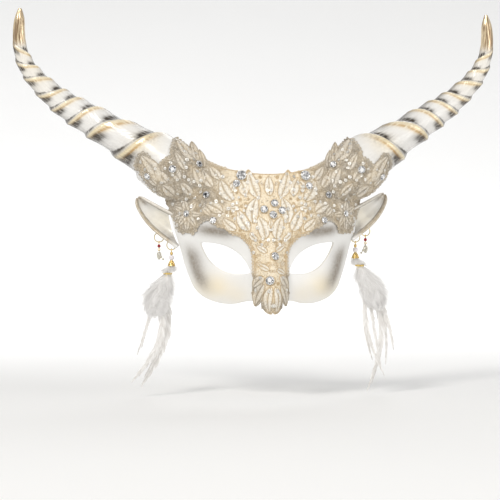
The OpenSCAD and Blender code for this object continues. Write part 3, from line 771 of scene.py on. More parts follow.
def flip(data):
    """Mirrors a mesh from +X to -X."""
    data.transform(Matrix.Scale(-1, 4, Vector((1, 0, 0))))
    data.flip_normals()


# ---- horns -------------------------------------------------------------------
HORN_AXIS = [[44, 34, 44, 4], [54, 38, 54, 14], [65, 42.5, 63.5, 21], [78, 47, 72.5, 23.5],
             [93, 53, 83.5, 19.8], [107, 59, 92, 16], [125.5, 68, 103.5, 13.8],
             [142.5, 77, 114, 12.4], [159, 82, 124.5, 10.8], [171.5, 84, 134.5, 9.2],
             [183.5, 85, 146.5, 7.9], [191.5, 86, 158, 6.6], [196, 86, 171, 5.5],
             [197, 86, 184, 5.1], [196.5, 86, 195, 4.2], [196, 86, 203.5, 1.4]]
BAND_AT = [[0, -2.9], [0.3, 0], [0.4, 1], [0.47, 2], [0.53, 3], [0.59, 4], [0.66, 5],
           [0.72, 6], [0.79, 7], [1, 10]]
RIDGE_H, RIDGE_STARTS = 0.17, 2


def horn_phase(u, turn):
    """Share (0 to 1) of the way from one ridge's foot to the next, along the horn."""
    bands = np.interp(u, [b[0] for b in BAND_AT], [b[1] for b in BAND_AT])
    raw = 0.2 - RIDGE_STARTS * (turn - 90) / 360 - bands
    return raw - np.floor(raw)


def ridge(f):
    return np.where(f < 0.2, ramp(0, 0.2, f), np.clip(1 - (f - 0.2) / 0.8, 0, 1) ** 1.4)


def horn_point(u, turn, lift):
    centre, t = along(HORN_AXIS, u), heading(HORN_AXIS, u)
    side = unit(np.cross(t, [0.0, -1.0, 0.0]))
    up = np.cross(side, t)
    ridged = ramp(0.2, 0.28, u) * ramp(0.86, 0.78, u)
    radius = centre[..., 3] * (1 + RIDGE_H * (ridge(horn_phase(u, turn)) - 0.45) * ridged) + lift
    a = np.radians(turn)
    return centre[..., :3] + radius[..., None] * (np.cos(a)[..., None] * side + np.sin(a)[..., None] * up)


def horn_marks(u, turn):
    """Painted marks at shares u of the length and turns round the axis, each 0 to 1."""
    f, a = horn_phase(u, turn), np.radians(turn)
    ridged = ramp(0.24, 0.3, u) * ramp(0.84, 0.79, u)
    bright = 0.6 + 0.4 * np.sin(a - 0.6 + 5 * u)
    lower, upper = ramp(0.1, 0.8, np.cos(a)), ramp(0.05, 0.75, -np.cos(a))
    gold = bell(f, 0.21, 0.08) * ridged * (0.6 + 0.4 * bright)
    fringe = bell(f, 0.33, 0.05) * ridged * (0.45 + 0.55 * bright)
    # Painted shade and dark reflections: a thin dark line at each notch, and dark patches beside the
    # notches on the lower and upper silhouette sides.
    horn_shade = (0.4 * bell(f, 0.04, 0.035) + 1.3 * lower * bell(f, 0.44, 0.16)
             + 0.8 * lower * bell(f, 0.02, 0.1)
             + 1.4 * upper * np.maximum(bell(f, 0.02, 0.1), bell(f, 1.02, 0.18)))
    # edge is 1 on the silhouette sides seen from the front, where it adds painted shade.
    edge = np.clip(np.abs(np.cos(a)) - 0.6, 0, 1) / 0.4
    under = np.clip(np.cos(a - 0.35), 0, 1)
    # The speckled grey mark: painted shade on the underside near the root and on the silhouette sides, and
    # a patch on the upper front near the root.
    mottle = (0.75 * under ** 1.5 * ramp(0.38, 0.3, u)
              + 0.3 * edge * ramp(0.26, 0.34, u) * ramp(0.8, 0.7, u)
              + 0.9 * bell(u, 0.275, 0.02) * bell(turn, 135, 30))
    cream = (0.75 * bell(f, 0.3, 0.13) * ridged + 0.2 * ramp(0.5, 0.7, u) * ridged
             + 0.5 * bell(u, 0.28, 0.04) * bell(turn, 110, 45))
    marks = dict(gold=gold, fringe=fringe, horn_shade=(1.2 * horn_shade + 0.7 * edge ** 4) * ridged, mottle=mottle,
                 cream=cream, tip=ramp(0.79, 0.84, u), ridged=ridged)
    return {name: np.clip(mark, 0, 1).ravel() for name, mark in marks.items()}


def build_horn():
    """The right horn, fluted at its tip and finely grained over its ridges."""
    rings, around = 460, 120
    u = np.linspace(0.03, 1, rings)[:, None] * np.ones(around)
    turn = np.ones(rings)[:, None] * np.arange(around) * 360 / around
    a = np.radians(turn)
    flutes = 0.5 + 0.5 * np.cos(np.radians(turn * 9 + 40 * np.sin(u * 40)))
    grain = np.cos(17 * a + 9 * np.sin(23 * u)) + np.cos(29 * a + 14 * np.sin(31 * u + 2))
    lift = (-0.22 * flutes * ramp(0.78, 0.85, u) * ramp(0.995, 0.97, u)
            + 0.07 * grain * ramp(0.24, 0.32, u) * ramp(0.86, 0.8, u))
    made = Mesh()
    made.add(horn_point(u, turn, lift), closed_grid(rings, around), round_x=np.cos(a).ravel(),
             round_y=np.sin(a).ravel(), run=u.ravel() * 2.5, **horn_marks(u, turn))
    obj = made.object("horn_body_right", [HORN])
    cut_to_shell(obj)
    return piece(obj, "mask", "horn_paint", "horn_right")


horn_right = build_horn()
horn_left = bpy.data.objects.new("horn_body_left", horn_right.data.copy())
bpy.context.scene.collection.objects.link(horn_left)
horn_left.data.name = "horn_body_left"
flip(horn_left.data)
piece(horn_left, "mask", "horn_paint", "horn_left")

# ---- ears --------------------------------------------------------------------
EAR_W, EAR_T, EAR_TURN = 8.8, 1.7, 88
EAR_SPINE = [[66, 33, 16, 1, 5], [73, 35.5, 21.5, 1, 6.5], [80, 39, 26.5, 0.97, 6.8],
             [87, 43, 31.7, 0.85, 6], [93.5, 46.5, 37.5, 0.64, 4.6], [98.5, 50, 43, 0.39, 2.8],
             [102, 53, 48.3, 0.09, 0.7]]


def ear_point(side, u, v, grow):
    """grow is the distance outside the ear's inner skin."""
    s, t = along(EAR_SPINE, u), heading(EAR_SPINE, u)
    across = unit(np.cross([-0.2, 1.0, 0.0], t))
    back = np.cross(t, across)
    b = np.radians(EAR_TURN * v)
    lift = 0 if side == "left" else mix(6, 3.2, u)
    place = s[..., :3] + np.stack([0 * u, 0 * u, lift + 0 * u], -1)
    return (place + ((EAR_W * s[..., 3] + grow) * np.sin(b))[..., None] * across
            + ((s[..., 4] + grow) * np.cos(b))[..., None] * back)


def build_ear(side):
    """A cupped leaf of even skin with rolled rims; v runs from its upper rim to its lower one."""
    steps, cols = 90, 61
    u = np.linspace(0, 1, steps)[:, None] * np.ones(cols)
    v = np.ones(steps)[:, None] * np.linspace(-1, 1, cols)
    thick = (EAR_T + 0.7 * v ** 4) * ramp(1.06, 0.9, u)
    inner, outer = ear_point(side, u, v, 0 * u), ear_point(side, u, v, thick)
    roll = []
    for col, sign in ((cols - 1, 1), (0, -1)):
        a, b = inner[:, col], outer[:, col]
        mid, half = 0.5 * (a + b), 0.5 * (b - a)
        t = unit(np.gradient(mid, axis=0))
        out = unit(np.cross(half, t)) * np.linalg.norm(half, axis=-1, keepdims=True) * sign
        phi = np.linspace(0, np.pi, RIM_STEPS + 2)[1:-1]
        roll.append(np.stack([mid - np.cos(p) * half + 1.15 * np.sin(p) * out for p in phi], 1))
    ring = np.concatenate([inner, roll[0], outer[:, ::-1], roll[1][:, ::-1]], 1)

    def skins(inner_mark, lower_rim, outer_mark, upper_rim):
        """A mark's values round the ring: the two skins and the two rolled rims."""
        rims = [np.full((steps, RIM_STEPS), value) for value in (lower_rim, upper_rim)]
        return np.concatenate([inner_mark, rims[0], outer_mark[:, ::-1], rims[1]], 1)

    pale = np.where(v < 0, 0.5, 1)
    rim = skins(ramp(0.72, 0.9, np.abs(v)) * pale, 1, np.abs(v) ** 2.5 * pale, 0.5)
    rim = np.maximum(rim * ramp(0.02, 0.2, u[:, :1]), ramp(0.75, 0.98, u[:, :1]) * 0.8)
    hollow = ramp(0.95, 0.3, np.abs(v)) * ramp(0.9, 0.4, u) * ramp(0.05, 0.4, u)
    # Painted shade: grey brown on the lower side near the root and under the upper rim near the tip, and a
    # dark line in the crease inside each rim.
    root_and_tip_shade = 0.6 * bell(v, 0.6, 0.35) * ramp(0.5, 0.15, u) + 0.7 * bell(v, -0.35, 0.3) * bell(u, 0.86, 0.13)
    line = np.maximum(bell(np.abs(v), 0.78, 0.07) * ramp(0.05, 0.2, u), root_and_tip_shade)
    made = Mesh()
    made.add(ring, closed_grid(steps, ring.shape[1]), rim=rim.ravel(),
             hollow=skins(hollow, 0, 0 * v, 0).ravel(), line=skins(line, 0, 0.7 * line, 0).ravel())
    obj = made.object("ear_cup_" + side, [EAR])
    cut_to_shell(obj)
    if side == "left":
        flip(obj.data)
    piece(obj, "mask", "ear_paint", "ear_" + side)


for ear_side in SIDES:
    build_ear(ear_side)

# ---- what the lace lies on ---------------------------------------------------
GRID_STEP = 0.5
GRID_X = np.arange(0, 112, GRID_STEP)
GRID_Z = np.arange(-46, 106, GRID_STEP)
# Depth given where there is nothing, depth past which there is no ground, and length of the run-in
FAR_Y, NO_GROUND, RUN_IN = 400.0, 350.0, 7.0


def front_of(obj):
    """Depth y of an object seen from the front, over the grid of places."""
    bm = bmesh.new()
    bm.from_mesh(obj.data)
    tree = BVHTree.FromBMesh(bm)
    bm.free()
    depth = np.full((len(GRID_X), len(GRID_Z)), FAR_Y)
    ahead = Vector((0, 1, 0))
    for i, x in enumerate(GRID_X):
        for j, z in enumerate(GRID_Z):
            hit = tree.ray_cast(Vector((x, -200, z)) * MM, ahead)[0]
            if hit:
                depth[i, j] = hit.y / MM
    return depth


def smooth_min(a, b, reach):
    h = np.clip(0.5 + 0.5 * (b - a) / reach, 0, 1)
    return b * (1 - h) + a * h - reach * h * (1 - h)


def lace_ground():
    """Depth, normal and reach of the ground under the lace: the shell run into the horn's root.

    The depth is carried on a little way past the reach, so that the normals at its edge are true.
    """
    x, z = np.meshgrid(GRID_X, GRID_Z, indexing="ij")
    horn_y = front_of(horn_right)
    on_shell = (x < outline_x(z) + 0.6) | (z < -20)
    shell_y = np.where(on_shell, face_y(np.minimum(x, FACE_REACH), z), FAR_Y)
    nearest = np.minimum(shell_y, horn_y)
    run_in = np.minimum(smooth_min(shell_y, horn_y, RUN_IN), nearest)
    depth = np.where(nearest < FAR_Y - 1, run_in, FAR_Y)
    valid = depth < NO_GROUND
    for _ in range(30):
        known = depth < NO_GROUND
        total, count = (around[:-2, 1:-1] + around[2:, 1:-1] + around[1:-1, :-2] + around[1:-1, 2:]
                        for around in (np.pad(grid, 1, mode="edge")
                                       for grid in (np.where(known, depth, 0), known.astype(float))))
        depth = np.where(known | (count == 0), depth, total / np.maximum(count, 1))
    gx, gz = np.gradient(depth, GRID_STEP)
    return depth, unit(np.stack([gx, -np.ones_like(gx), gz], -1)), valid


ground_y, ground_normal, ground_valid = lace_ground()


def sample(table, q):
    """Value of a grid table at places (x, z), x taken as |x|."""
    i = np.clip((np.abs(q[..., 0]) - GRID_X[0]) / GRID_STEP, 0, len(GRID_X) - 1.001)
    j = np.clip((q[..., 1] - GRID_Z[0]) / GRID_STEP, 0, len(GRID_Z) - 1.001)
    i0, j0 = i.astype(int), j.astype(int)
    s, t = i - i0, j - j0
    if table.ndim == 3:
        s, t = s[..., None], t[..., None]
    return ((1 - s) * (1 - t) * table[i0, j0] + s * (1 - t) * table[i0 + 1, j0]
            + (1 - s) * t * table[i0, j0 + 1] + s * t * table[i0 + 1, j0 + 1])


def on_lace(q, lift):
    """Points over the lace's ground at places (x, z), lifted along its normal."""
    q = np.asarray(q, float)
    y = sample(ground_y, q)
    n = sample(ground_normal, q) * np.stack([np.sign(q[..., 0] + 1e-9), 1 + 0 * y, 1 + 0 * y], -1)
    return np.stack([q[..., 0], y, q[..., 1]], -1) + np.asarray(lift)[..., None] * unit(n)


def stand(x, z, lift):
    """A point lifted over the lace's ground at a place, and the ground's normal there."""
    q = np.array([[x, z]], float)
    normal = sample(ground_normal, q)[0] * [math.copysign(1, x), 1, 1]
    return on_lace(q, np.array([lift]))[0], normal


def lace_shade(q):
    """0 in the cream centre, 1 in the taupe at the temples, horn roots and sides of the nose; the taupe is
    partly the side thread's colour and partly painted shade where the lace turns away from the light.
    """
    ax, z = np.abs(q[..., 0]), q[..., 1]
    return np.clip(ramp(22, 52, ax) + 0.75 * ramp(8, 14, ax) * ramp(-8, -16, z)
                   + 0.9 * ramp(4, 9, ax) * ramp(-12, -20, z) + 0.55 * ramp(-30, -38, z), 0, 1)


# ---- lace --------------------------------------------------------------------
LACE_EDGE = [
    (0, 66.2), (6, 66.3), (9, 66.6), (13, 67), (16, 69.8), (18.5, 67.6), (24, 68.6), (31, 70), (38, 71),
    (44, 74), (49, 76.5), (51.5, 81), (52.7, 86.5), (55, 84.5), (58.2, 93.2), (61.5, 88.5), (65, 91),
    (71.5, 96.3), (75, 89), (76.5, 84.5), (76, 80.5), (78.5, 79.5), (82, 77.5), (86, 73.5), (89.5, 71.5),
    (92, 74), (94.5, 79.5), (98, 83), (101, 82), (103.5, 77), (103, 72), (98, 65.5), (91, 56.5),
    (81.5, 46), (76.5, 39.5), (74, 35), (73.5, 31.5), (71, 30), (70.5, 24), (67, 20.5), (63, 22),
    (60, 19.8), (58, 22.5), (56.7, 26.5), (51, 30.5), (46, 30.5), (40.5, 25.6), (35, 24.5), (29.4, 19.8),
    (24.5, 19), (20.4, 15.8), (17, 12.5), (15, 9.5), (12.8, 3), (12.3, -5), (12.5, -12), (13.5, -17),
    (14, -24), (13.5, -33), (12, -38), (9.5, -36.5), (8, -33.5), (7.5, -38), (4.5, -42.5), (1, -43.8),
    (0, -41)]
# Satin leaves of the +X half as (base x, z, tip x, z, width, sideways bow)
LEAVES = [
    (8.5, 47, 16, 69.3, 10, 1), (19, 49, 24, 64, 9, -1), (0, 49, 0, 65, 8, 0), (14, 27, 10, 48, 11, 2),
    (4, 15, 9.5, 33, 10, -1), (17, 21, 25, 38, 10, 1), (29, 45, 38, 62, 10, 1.5), (37, 36, 50, 43, 9, -1),
    (27, 22, 37, 31, 8, 1), (58, 78, 72, 95.8, 9, 1), (56, 77, 58.3, 93, 7, 0), (50, 72, 52.8, 86, 6, 0),
    (62, 80, 66, 91, 5, 0), (86, 61, 100.5, 82, 10, -1.5), (80, 60, 90, 70, 8, 0), (70, 62, 78, 76, 8, 1),
    (74, 50, 84, 58, 8, 0), (64, 35, 73.5, 31.5, 5, 0), (64, 35, 71, 24.5, 5, 0), (64, 35, 64, 20.8, 5, 0),
    (64, 35, 57, 24, 5, 0), (64, 35, 53, 34, 5, 0), (64, 35, 57, 45, 5.5, 0), (64, 35, 66, 47, 5.5, 0),
    (64, 35, 73.5, 41, 5, 0), (44, 56, 52, 70, 8, 1), (38, 62, 46, 73, 7, 0), (54, 58, 60, 72, 8, -1),
    (60, 50, 70, 60, 7, 0), (52, 40, 46, 33, 5, 0), (0, 20, 0, 31, 5, 0), (10, 14, 17, 21, 5, 1),
    (88, 58, 96, 66, 5, 0), (66, 70, 74, 84, 6, 0), (31, 52, 22, 62, 6, 1), (24, 40, 33, 40, 5, 1)]
# Pads down the nose, the same way, drawn for each side apart
NOSE_LEAVES = [
    (-6.5, -14.5, -14, -23.5, 6.5, -0.5), (-6.5, -20.5, -12, -37, 7, -1.5), (6, -14, 13, -25.5, 7, 1),
    (6.5, -21, 11.8, -37.5, 7, 1.5), (-1.6, -22.5, -2.2, -43, 6.5, -2), (1.6, -22.5, 2.2, -43.3, 6.5, 2),
    (-2, -10, -11, -4, 5, 0), (3, -9, 11, -13, 5, 0), (-3, 4, -11, 10, 5, 0), (3, 5, 12, 11, 5, 0)]
STONES = {"centre_stones": [(3.6, 43, 5.6), (-4.6, 38.2, 5.6), (9.4, 37.4, 5.6), (2, 33.8, 5.6)],
          "crest_stones": [(29.8, 65.2, 7.5), (32.6, 57, 5.5), (-21.5, 65.2, 7.5), (-25.5, 58.8, 5.5)],
          "nose_stones": [(2.2, 1, 6), (-1.8, -18, 6.5)],
          "temple_stones_right": [(49, 50, 5), (44.4, 29.5, 4.8), (64, 35, 4.8)],
          "temple_stones_left": [(-49, 50, 5), (-44.4, 29.5, 4.8), (-64, 35, 4.8)]}
ROOT_STONES = [(76.4, 70.6, 5.5), (94.9, 65.4, 5), (55, 74.2, 5.2)]
TULLE_LIFT, CORD_R = 0.55, 0.3
rng = np.random.default_rng(7)


def lace_outline():
    """Closed edge of the whole lace, from the top centre round the +X half and back."""
    half = along(LACE_EDGE, np.linspace(0, 1, 4 * len(LACE_EDGE)))
    return np.concatenate([half, (half * [-1, 1])[-2:0:-1]])


def inside(q, edge):
    """Which places are inside a closed edge."""
    x, z = q[:, 0, None], q[:, 1, None]
    a, b = edge, np.roll(edge, -1, 0)
    rise = np.where(np.abs(b[:, 1] - a[:, 1]) < 1e-9, 1e-9, b[:, 1] - a[:, 1])
    meets = ((a[:, 1] > z) != (b[:, 1] > z)) & (x < a[:, 0] + (z - a[:, 1]) / rise * (b[:, 0] - a[:, 0]))
    return meets.sum(1) % 2 == 1


def grounded(q):
    """Which places have the shell or a horn under them."""
    return sample(ground_valid.astype(float), np.asarray(q, float)) > 0.99


EDGE = lace_outline()


def build_tulle():
    """The net ground as a thin closed sheet over the brow, nose, temples and horn roots."""
    step = 1.1
    i, j = np.meshgrid(np.arange(-96, 97), np.arange(-48, 100), indexing="ij")
    q = np.stack([(i + 0.5 * (j % 2)) * step, j * step * 0.87], -1).reshape(-1, 2)
    q = q[inside(q, EDGE)]
    places = np.concatenate([EDGE, q])
    flat, _, tris, *_ = geometry.delaunay_2d_cdt([Vector(p) for p in places], [],
                                                 [list(range(len(EDGE)))], 1, 1e-5)
    flat = np.array([v[:] for v in flat])
    tris = np.array([t for t in tris if len(t) == 3])
    tris = tris[grounded(flat[tris].mean(1))]
    sides = np.concatenate([tris[:, [0, 1]], tris[:, [1, 2]], tris[:, [2, 0]]])
    keys = {tuple(e) for e in sides.tolist()}
    rim = np.array([e for e in keys if e[::-1] not in keys])
    n = len(flat)
    weave = 0.05 * np.sin(flat[:, 0] * 5) * np.sin(flat[:, 1] * 5)
    made = Mesh()
    walls = np.stack([rim[:, 1], rim[:, 0], rim[:, 0] + n, rim[:, 1] + n], 1)
    made.add(np.concatenate([on_lace(flat, TULLE_LIFT + weave), on_lace(flat, 0.15 + 0 * weave)]),
             [tris[:, ::-1], tris + n, walls[:, ::-1]], shade=np.tile(lace_shade(flat), 2))
    obj = made.object("lace_tulle", [TULLE])
    return piece(obj, "mask", "lace", "lace_forehead", "lace_nose", "lace_temple_left",
                 "lace_temple_right", "lace_horn_left", "lace_horn_right")


def add_net(made):
    """Crossed threads of the net, laid over the ground."""
    pitch, step = 1.9, 1.5
    for turn, top in ((0.6, 0.7), (-0.6, 0.76)):
        d = np.array([math.cos(turn), math.sin(turn)])
        n = np.array([-d[1], d[0]])
        i, j = np.meshgrid(np.arange(-70, 71), np.arange(-80, 81), indexing="ij")
        q = i[..., None] * pitch * n + j[..., None] * step * d + [0, 25]
        flat = q.reshape(-1, 2)
        held = (inside(flat, EDGE) & grounded(flat)).reshape(i.shape)
        lines = np.stack([on_lace(q - 0.13 * n, TULLE_LIFT + 0 * i), on_lace(q, top + 0 * i),
                          on_lace(q + 0.13 * n, TULLE_LIFT + 0 * i)], 2)
        index = np.arange(i.size * 3).reshape(*i.shape, 3)
        both = held[:, :-1] & held[:, 1:]
        a, b = index[:, :-1][both], index[:, 1:][both]
        faces = np.concatenate([np.stack([a[:, k], a[:, k + 1], b[:, k + 1], b[:, k]], 1) for k in (0, 1)])
        used, renumbered = np.unique(faces, return_inverse=True)
        made.add(lines.reshape(-1, 3)[used], renumbered.reshape(-1, 4),
                 shade=lace_shade(np.repeat(flat, 3, 0)[used]))


def add_cord(made, q, lift, radius):
    """A cord laid along places (x, z), left out where nothing is under it."""
    q = np.asarray(q, float)
    held = grounded(q)
    starts = np.flatnonzero(held & ~np.concatenate([[False], held[:-1]]))
    ends = np.flatnonzero(held & ~np.concatenate([held[1:], [False]])) + 1
    for a, b in zip(starts, ends):
        if b - a > 2:
            run = q[a:b]
            points, faces = tube(on_lace(run, lift + 0 * run[:, 0]), radius, 5)
            made.add(points, faces, shade=np.repeat(lace_shade(run), 5)[:len(points)])


def leaf_places(base, tip, width, bow, t, s):
    """Places over a leaf at shares t of its length and s (-1 to 1) of its width."""
    base, axis = np.array(base, float), np.subtract(tip, base)
    across = np.array([-axis[1], axis[0]]) / np.hypot(*axis)
    half = 0.5 * width * np.sin(np.pi * np.clip(t, 0, 1) ** 0.8) ** 0.75
    return base + axis * t[..., None] + across * (half * s + bow * np.sin(np.pi * t))[..., None]


def add_leaf(pads, cords, base, tip, width, bow=0.0):
    """A satin-stitched pad in two lobes, with ribs, a cord round it and a vein."""
    long = math.dist(base, tip)
    rows, cols = max(10, int(long * 3)), 11
    t = np.linspace(0.01, 0.985, rows)[:, None] * np.ones(cols)
    s = np.ones(rows)[:, None] * np.linspace(-1, 1, cols)
    q = leaf_places(base, tip, width, bow, t, s)
    if not grounded(q[:, cols // 2]).all():
        return
    lobes = np.abs(np.sin(np.pi * s)) ** 0.6
    ribs = 0.1 * np.sin(2 * np.pi * (t * long / 1.3 + 0.9 * np.abs(s)))
    height = (TULLE_LIFT - 0.05
              + (0.11 * width ** 0.7 * lobes + ribs * lobes) * ramp(0, 0.12, t) * ramp(1, 0.9, t))
    # edge marks each pad's low seams, at its rims and middle vein, which the lace material darkens as
    # painted shade.
    pads.add(on_lace(q, height).reshape(-1, 3), grid_faces(rows, cols), shade=lace_shade(q).ravel(),
             edge=(1 - lobes).ravel())
    u = np.linspace(0, 1, rows)
    rim = np.concatenate([leaf_places(base, tip, width, bow, u, 1 + 0 * u),
                          leaf_places(base, tip, width, bow, u[::-1], -1 + 0 * u)[1:]])
    add_cord(cords, rim, TULLE_LIFT + 0.22, min(CORD_R, 0.1 + 0.035 * width))
    add_cord(cords, leaf_places(base, tip, width, bow, u[1:-2], 0 * u[1:-2]), TULLE_LIFT + 0.2, 0.2)


def add_curl(cords, centre, r, turn):
    t = np.linspace(0, 1, 26)
    a = turn + t * 3.4 * np.pi
    spiral = (r * (1 - 0.78 * t))[:, None] * np.stack([np.cos(a), np.sin(a)], 1)
    add_cord(cords, np.array(centre) + spiral, 0.75, 0.24)


def add_ring(cords, centre, r, lift=0.75, radius=0.26):
    a = np.linspace(0, 2 * np.pi, 21)
    add_cord(cords, np.array(centre) + r * np.stack([np.cos(a), np.sin(a)], 1), lift, radius)


def add_sequin(made, centre, d, tilt):
    """A cupped round sequin with a hole, tipped a little."""
    points, faces = lathe([[0.12, 0.02], [0.16, 0.1], [0.3, 0.06], [0.5, 0.2], [0.5, 0.14], [0.3, 0]], 18)
    place, normal = stand(*centre, 0.95)
    made.add(aim(points * d, place, unit(normal + tilt)), faces)


def crowded(centre, r, taken):
    return any(math.dist(centre, (x, z)) < r + other for x, z, other in taken)


def add_fixed_rings(cords, stones):
    """Rings round the stones, and those of the flower discs on the temples and horn roots."""
    for k in (1, -1):
        for r in (6.6, 4.9):
            add_ring(cords, (k * 46, 49), r, 0.8, 0.34)
        for r in (5.6, 4.2):
            add_ring(cords, (k * 76.4, 70.6), r, 0.8, 0.36)
        for i in range(9):
            a = i * 2 * math.pi / 9
            add_ring(cords, (k * (46 + 5.75 * math.cos(a)), 49 + 5.75 * math.sin(a)), 0.8)
    for x, z, d in stones:
        add_ring(cords, (x, z), 0.5 * d + 0.5, 0.8, 0.3)


def add_motif(pads, cords, kind, x, z, r, spin, k):
    """One small flower, leaf, curl or pair of rings; k is 1 or -1, for its side."""
    if kind == "flower" and r > 2:
        for i in range(5):
            a = spin + k * i * 2 * math.pi / 5
            c, s = math.cos(a), math.sin(a)
            add_leaf(pads, cords, (x + 0.5 * c, z + 0.5 * s), (x + r * 1.1 * c, z + r * 1.1 * s), 0.85 * r)
        add_ring(cords, (x, z), 0.45, 0.95, 0.3)
    elif kind == "leaf":
        c, s = math.cos(spin), math.sin(spin)
        add_leaf(pads, cords, (x - r * c, z - r * s), (x + r * c, z + r * s), 1.3 * r)
    elif kind == "curl":
        add_curl(cords, (x, z), r * 0.9, spin)
    else:
        add_ring(cords, (x, z), r * 0.7, 0.75, 0.32)
        add_ring(cords, (x, z), r * 0.32, 0.75, 0.24)


def scatter_motifs(pads, cords, spots, taken):
    """Small motifs, the same on both sides, wherever nothing is yet."""
    kinds, odds = ["flower", "curl", "leaf", "ring"], [0.3, 0.3, 0.25, 0.15]
    for x, z in spots:
        kind = rng.choice(kinds, p=odds)
        r = rng.uniform(1.4, 3.0)
        turn = rng.uniform(0, 2 * math.pi)
        if crowded((x, z), r, taken) or x < r * 0.6:
            continue
        taken += [(x, z, r), (-x, z, r)]
        for k in (1, -1):
            add_motif(pads, cords, kind, k * x, z, r, turn if k > 0 else math.pi - turn, k)


def scatter_sequins(sequins, spots, stones):
    """Sequins, thickest in a cluster beside the middle of the forehead."""
    keep_off = [(x, z, 0.5 * d + 0.6) for x, z, d in stones]
    shiny = []
    for x, z in spots:
        chance = 1.1 * math.exp(-((x - 26) / 9) ** 2 - ((z - 41) / 11) ** 2) + 0.17
        if rng.random() < chance * 0.06 and not crowded((x, z), 1.0, shiny) \
                and not crowded((x, z), 0.6, keep_off):
            shiny.append((x, z, 2.2))
            for k in (1, -1):
                add_sequin(sequins, (k * x, z), rng.uniform(2.1, 3.1), 0.2 * rng.normal(size=3))


def add_edging(pads, cords):
    """A cord round the whole lace, and small scallops where it lies free on the shell."""
    closed = np.concatenate([EDGE, EDGE[:2]])
    gap = np.concatenate([[0], np.cumsum(np.linalg.norm(np.diff(closed, axis=0), axis=1))])
    add_cord(cords, closed, 0.6, 0.42)
    for d in np.arange(0, gap[-1] - 1, 2.7):
        q, ahead = (np.array([np.interp(at, gap, closed[:, k]) for k in (0, 1)]) for at in (d, d + 0.5))
        run = ahead - q
        out = np.array([-run[1], run[0]]) / np.hypot(*run)
        on_brow = q[1] > brow_edge(abs(q[0])) - 2 and abs(q[0]) < 66
        if not (on_brow or q[1] < -14) and grounded((q + 2.4 * out)[None])[0]:
            add_leaf(pads, cords, q - 1.2 * out, q + 2.1 * out, 2.8)


def build_lace():
    """Net, satin pads, cords and sequins that are sewn to the tulle."""
    pads, cords, sequins, net = Mesh(), Mesh(), Mesh(), Mesh()
    add_net(net)
    both = [(k * bx, bz, k * tx, tz, w, -k * bow) for bx, bz, tx, tz, w, bow in LEAVES for k in (1, -1)
            if k > 0 or bx or tx]
    stones = [s for group in STONES.values() for s in group]
    stones += [(k * x, z, d) for x, z, d in ROOT_STONES for k in (1, -1)]
    taken = [(x, z, 0.5 * d + 0.4) for x, z, d in stones]
    for bx, bz, tx, tz, w, bow in both + NOSE_LEAVES:
        add_leaf(pads, cords, (bx, bz), (tx, tz), w, bow)
        taken += [(mix(bx, tx, t), mix(bz, tz, t), 0.42 * w) for t in (0.2, 0.4, 0.6, 0.8)]
    add_fixed_rings(cords, stones)
    spots = rng.uniform([0, -43], [104, 96], (26000, 2))
    spots = spots[inside(spots, EDGE) & grounded(spots)]
    scatter_motifs(pads, cords, spots, taken)
    scatter_sequins(sequins, spots[::-1], stones)
    add_edging(pads, cords)
    parts = [net.object("lace_net", [TULLE]), pads.object("lace_satin", [SATIN]),
             cords.object("lace_cords", [CORD]), sequins.object("lace_sequins", [SEQUIN])]
    for part, part_slot in zip(parts, ("lace", "lace", "lace", "crystal")):
        piece(part, "mask", part_slot)
    return parts


tulle = build_tulle()
build_lace()


# ---- stones ------------------------------------------------------------------
def stone_parts(d):
    """Cup, and loose facets of the foil back and the glass crown, standing on the origin."""
    cup = lathe([[0.4, -0.12], [0.47, -0.1], [0.54, 0.1], [0.545, 0.16], [0.51, 0.17], [0.49, 0.12],
                 [0.3, -0.04]], 24)
    ring = [(math.cos(k * math.pi / 8), math.sin(k * math.pi / 8)) for k in range(16)]
    girdle = [(0.485 * x, 0.485 * z, 0.15) for x, z in ring]
    table = [(0.27 * x, 0.27 * z, 0.33) for x, z in ring[1::2]]
    waist = [(0.41 * x, 0.41 * z, 0.25) for x, z in ring[::2]]
    crown = [table]
    for k in range(8):
        g = 2 * k
        nxt = (g + 2) % 16
        crown += [[table[k - 1], waist[k], table[k]], [waist[k], girdle[g], girdle[g + 1]],
                  [waist[k], girdle[g + 1], table[k]], [table[k], girdle[g + 1], waist[(k + 1) % 8]],
                  [waist[(k + 1) % 8], girdle[g + 1], girdle[nxt]]]
    back = [[girdle[k], girdle[(k + 1) % 16], (0, 0, 0.02)] for k in range(16)]
    return cup, crown, back


def add_facets(made, facets, place, normal, d, look, turn):
    spin = np.array([[math.cos(turn), -math.sin(turn), 0], [math.sin(turn), math.cos(turn), 0], [0, 0, 1]])
    for facet in facets:
        # Each facet gets a random number that picks its painted glint or dark reflection in the crystal and
        # foil materials.
        made.add(aim(np.array(facet) @ spin.T * d, place, normal), np.arange(len(facet))[None], look,
                 tone=rng.uniform(0, 1))


def build_stones(name, stones, *replaced):
    cups, cut = Mesh(), Mesh()
    for x, z, d in stones:
        place, normal = stand(x, z, 1)
        (points, faces), crown, back = stone_parts(d)
        cups.add(aim(points * d, place, normal), faces)
        for k in range(4):
            a = math.pi / 4 + k * math.pi / 2
            claw = np.array([[0.545, 0], [0.55, 0.18], [0.46, 0.24], [0.36, 0.265]]) * d
            path = np.stack([claw[:, 0] * math.cos(a), claw[:, 0] * math.sin(a), claw[:, 1]], 1)
            cups.add(*tube(aim(path, place, normal), [0.05 * d, 0.05 * d, 0.045 * d, 0.02 * d], 6))
        add_facets(cut, back, place, normal, d, 1, 0.2)
        add_facets(cut, crown, place, normal, d, 0, 0.2)
    piece(cups.object(name + "_cups", [CUP]), "mask", "crystal")
    piece(cut.object(name + "_cut", [CRYSTAL, FOIL], smooth=False), "mask", "crystal", *replaced)


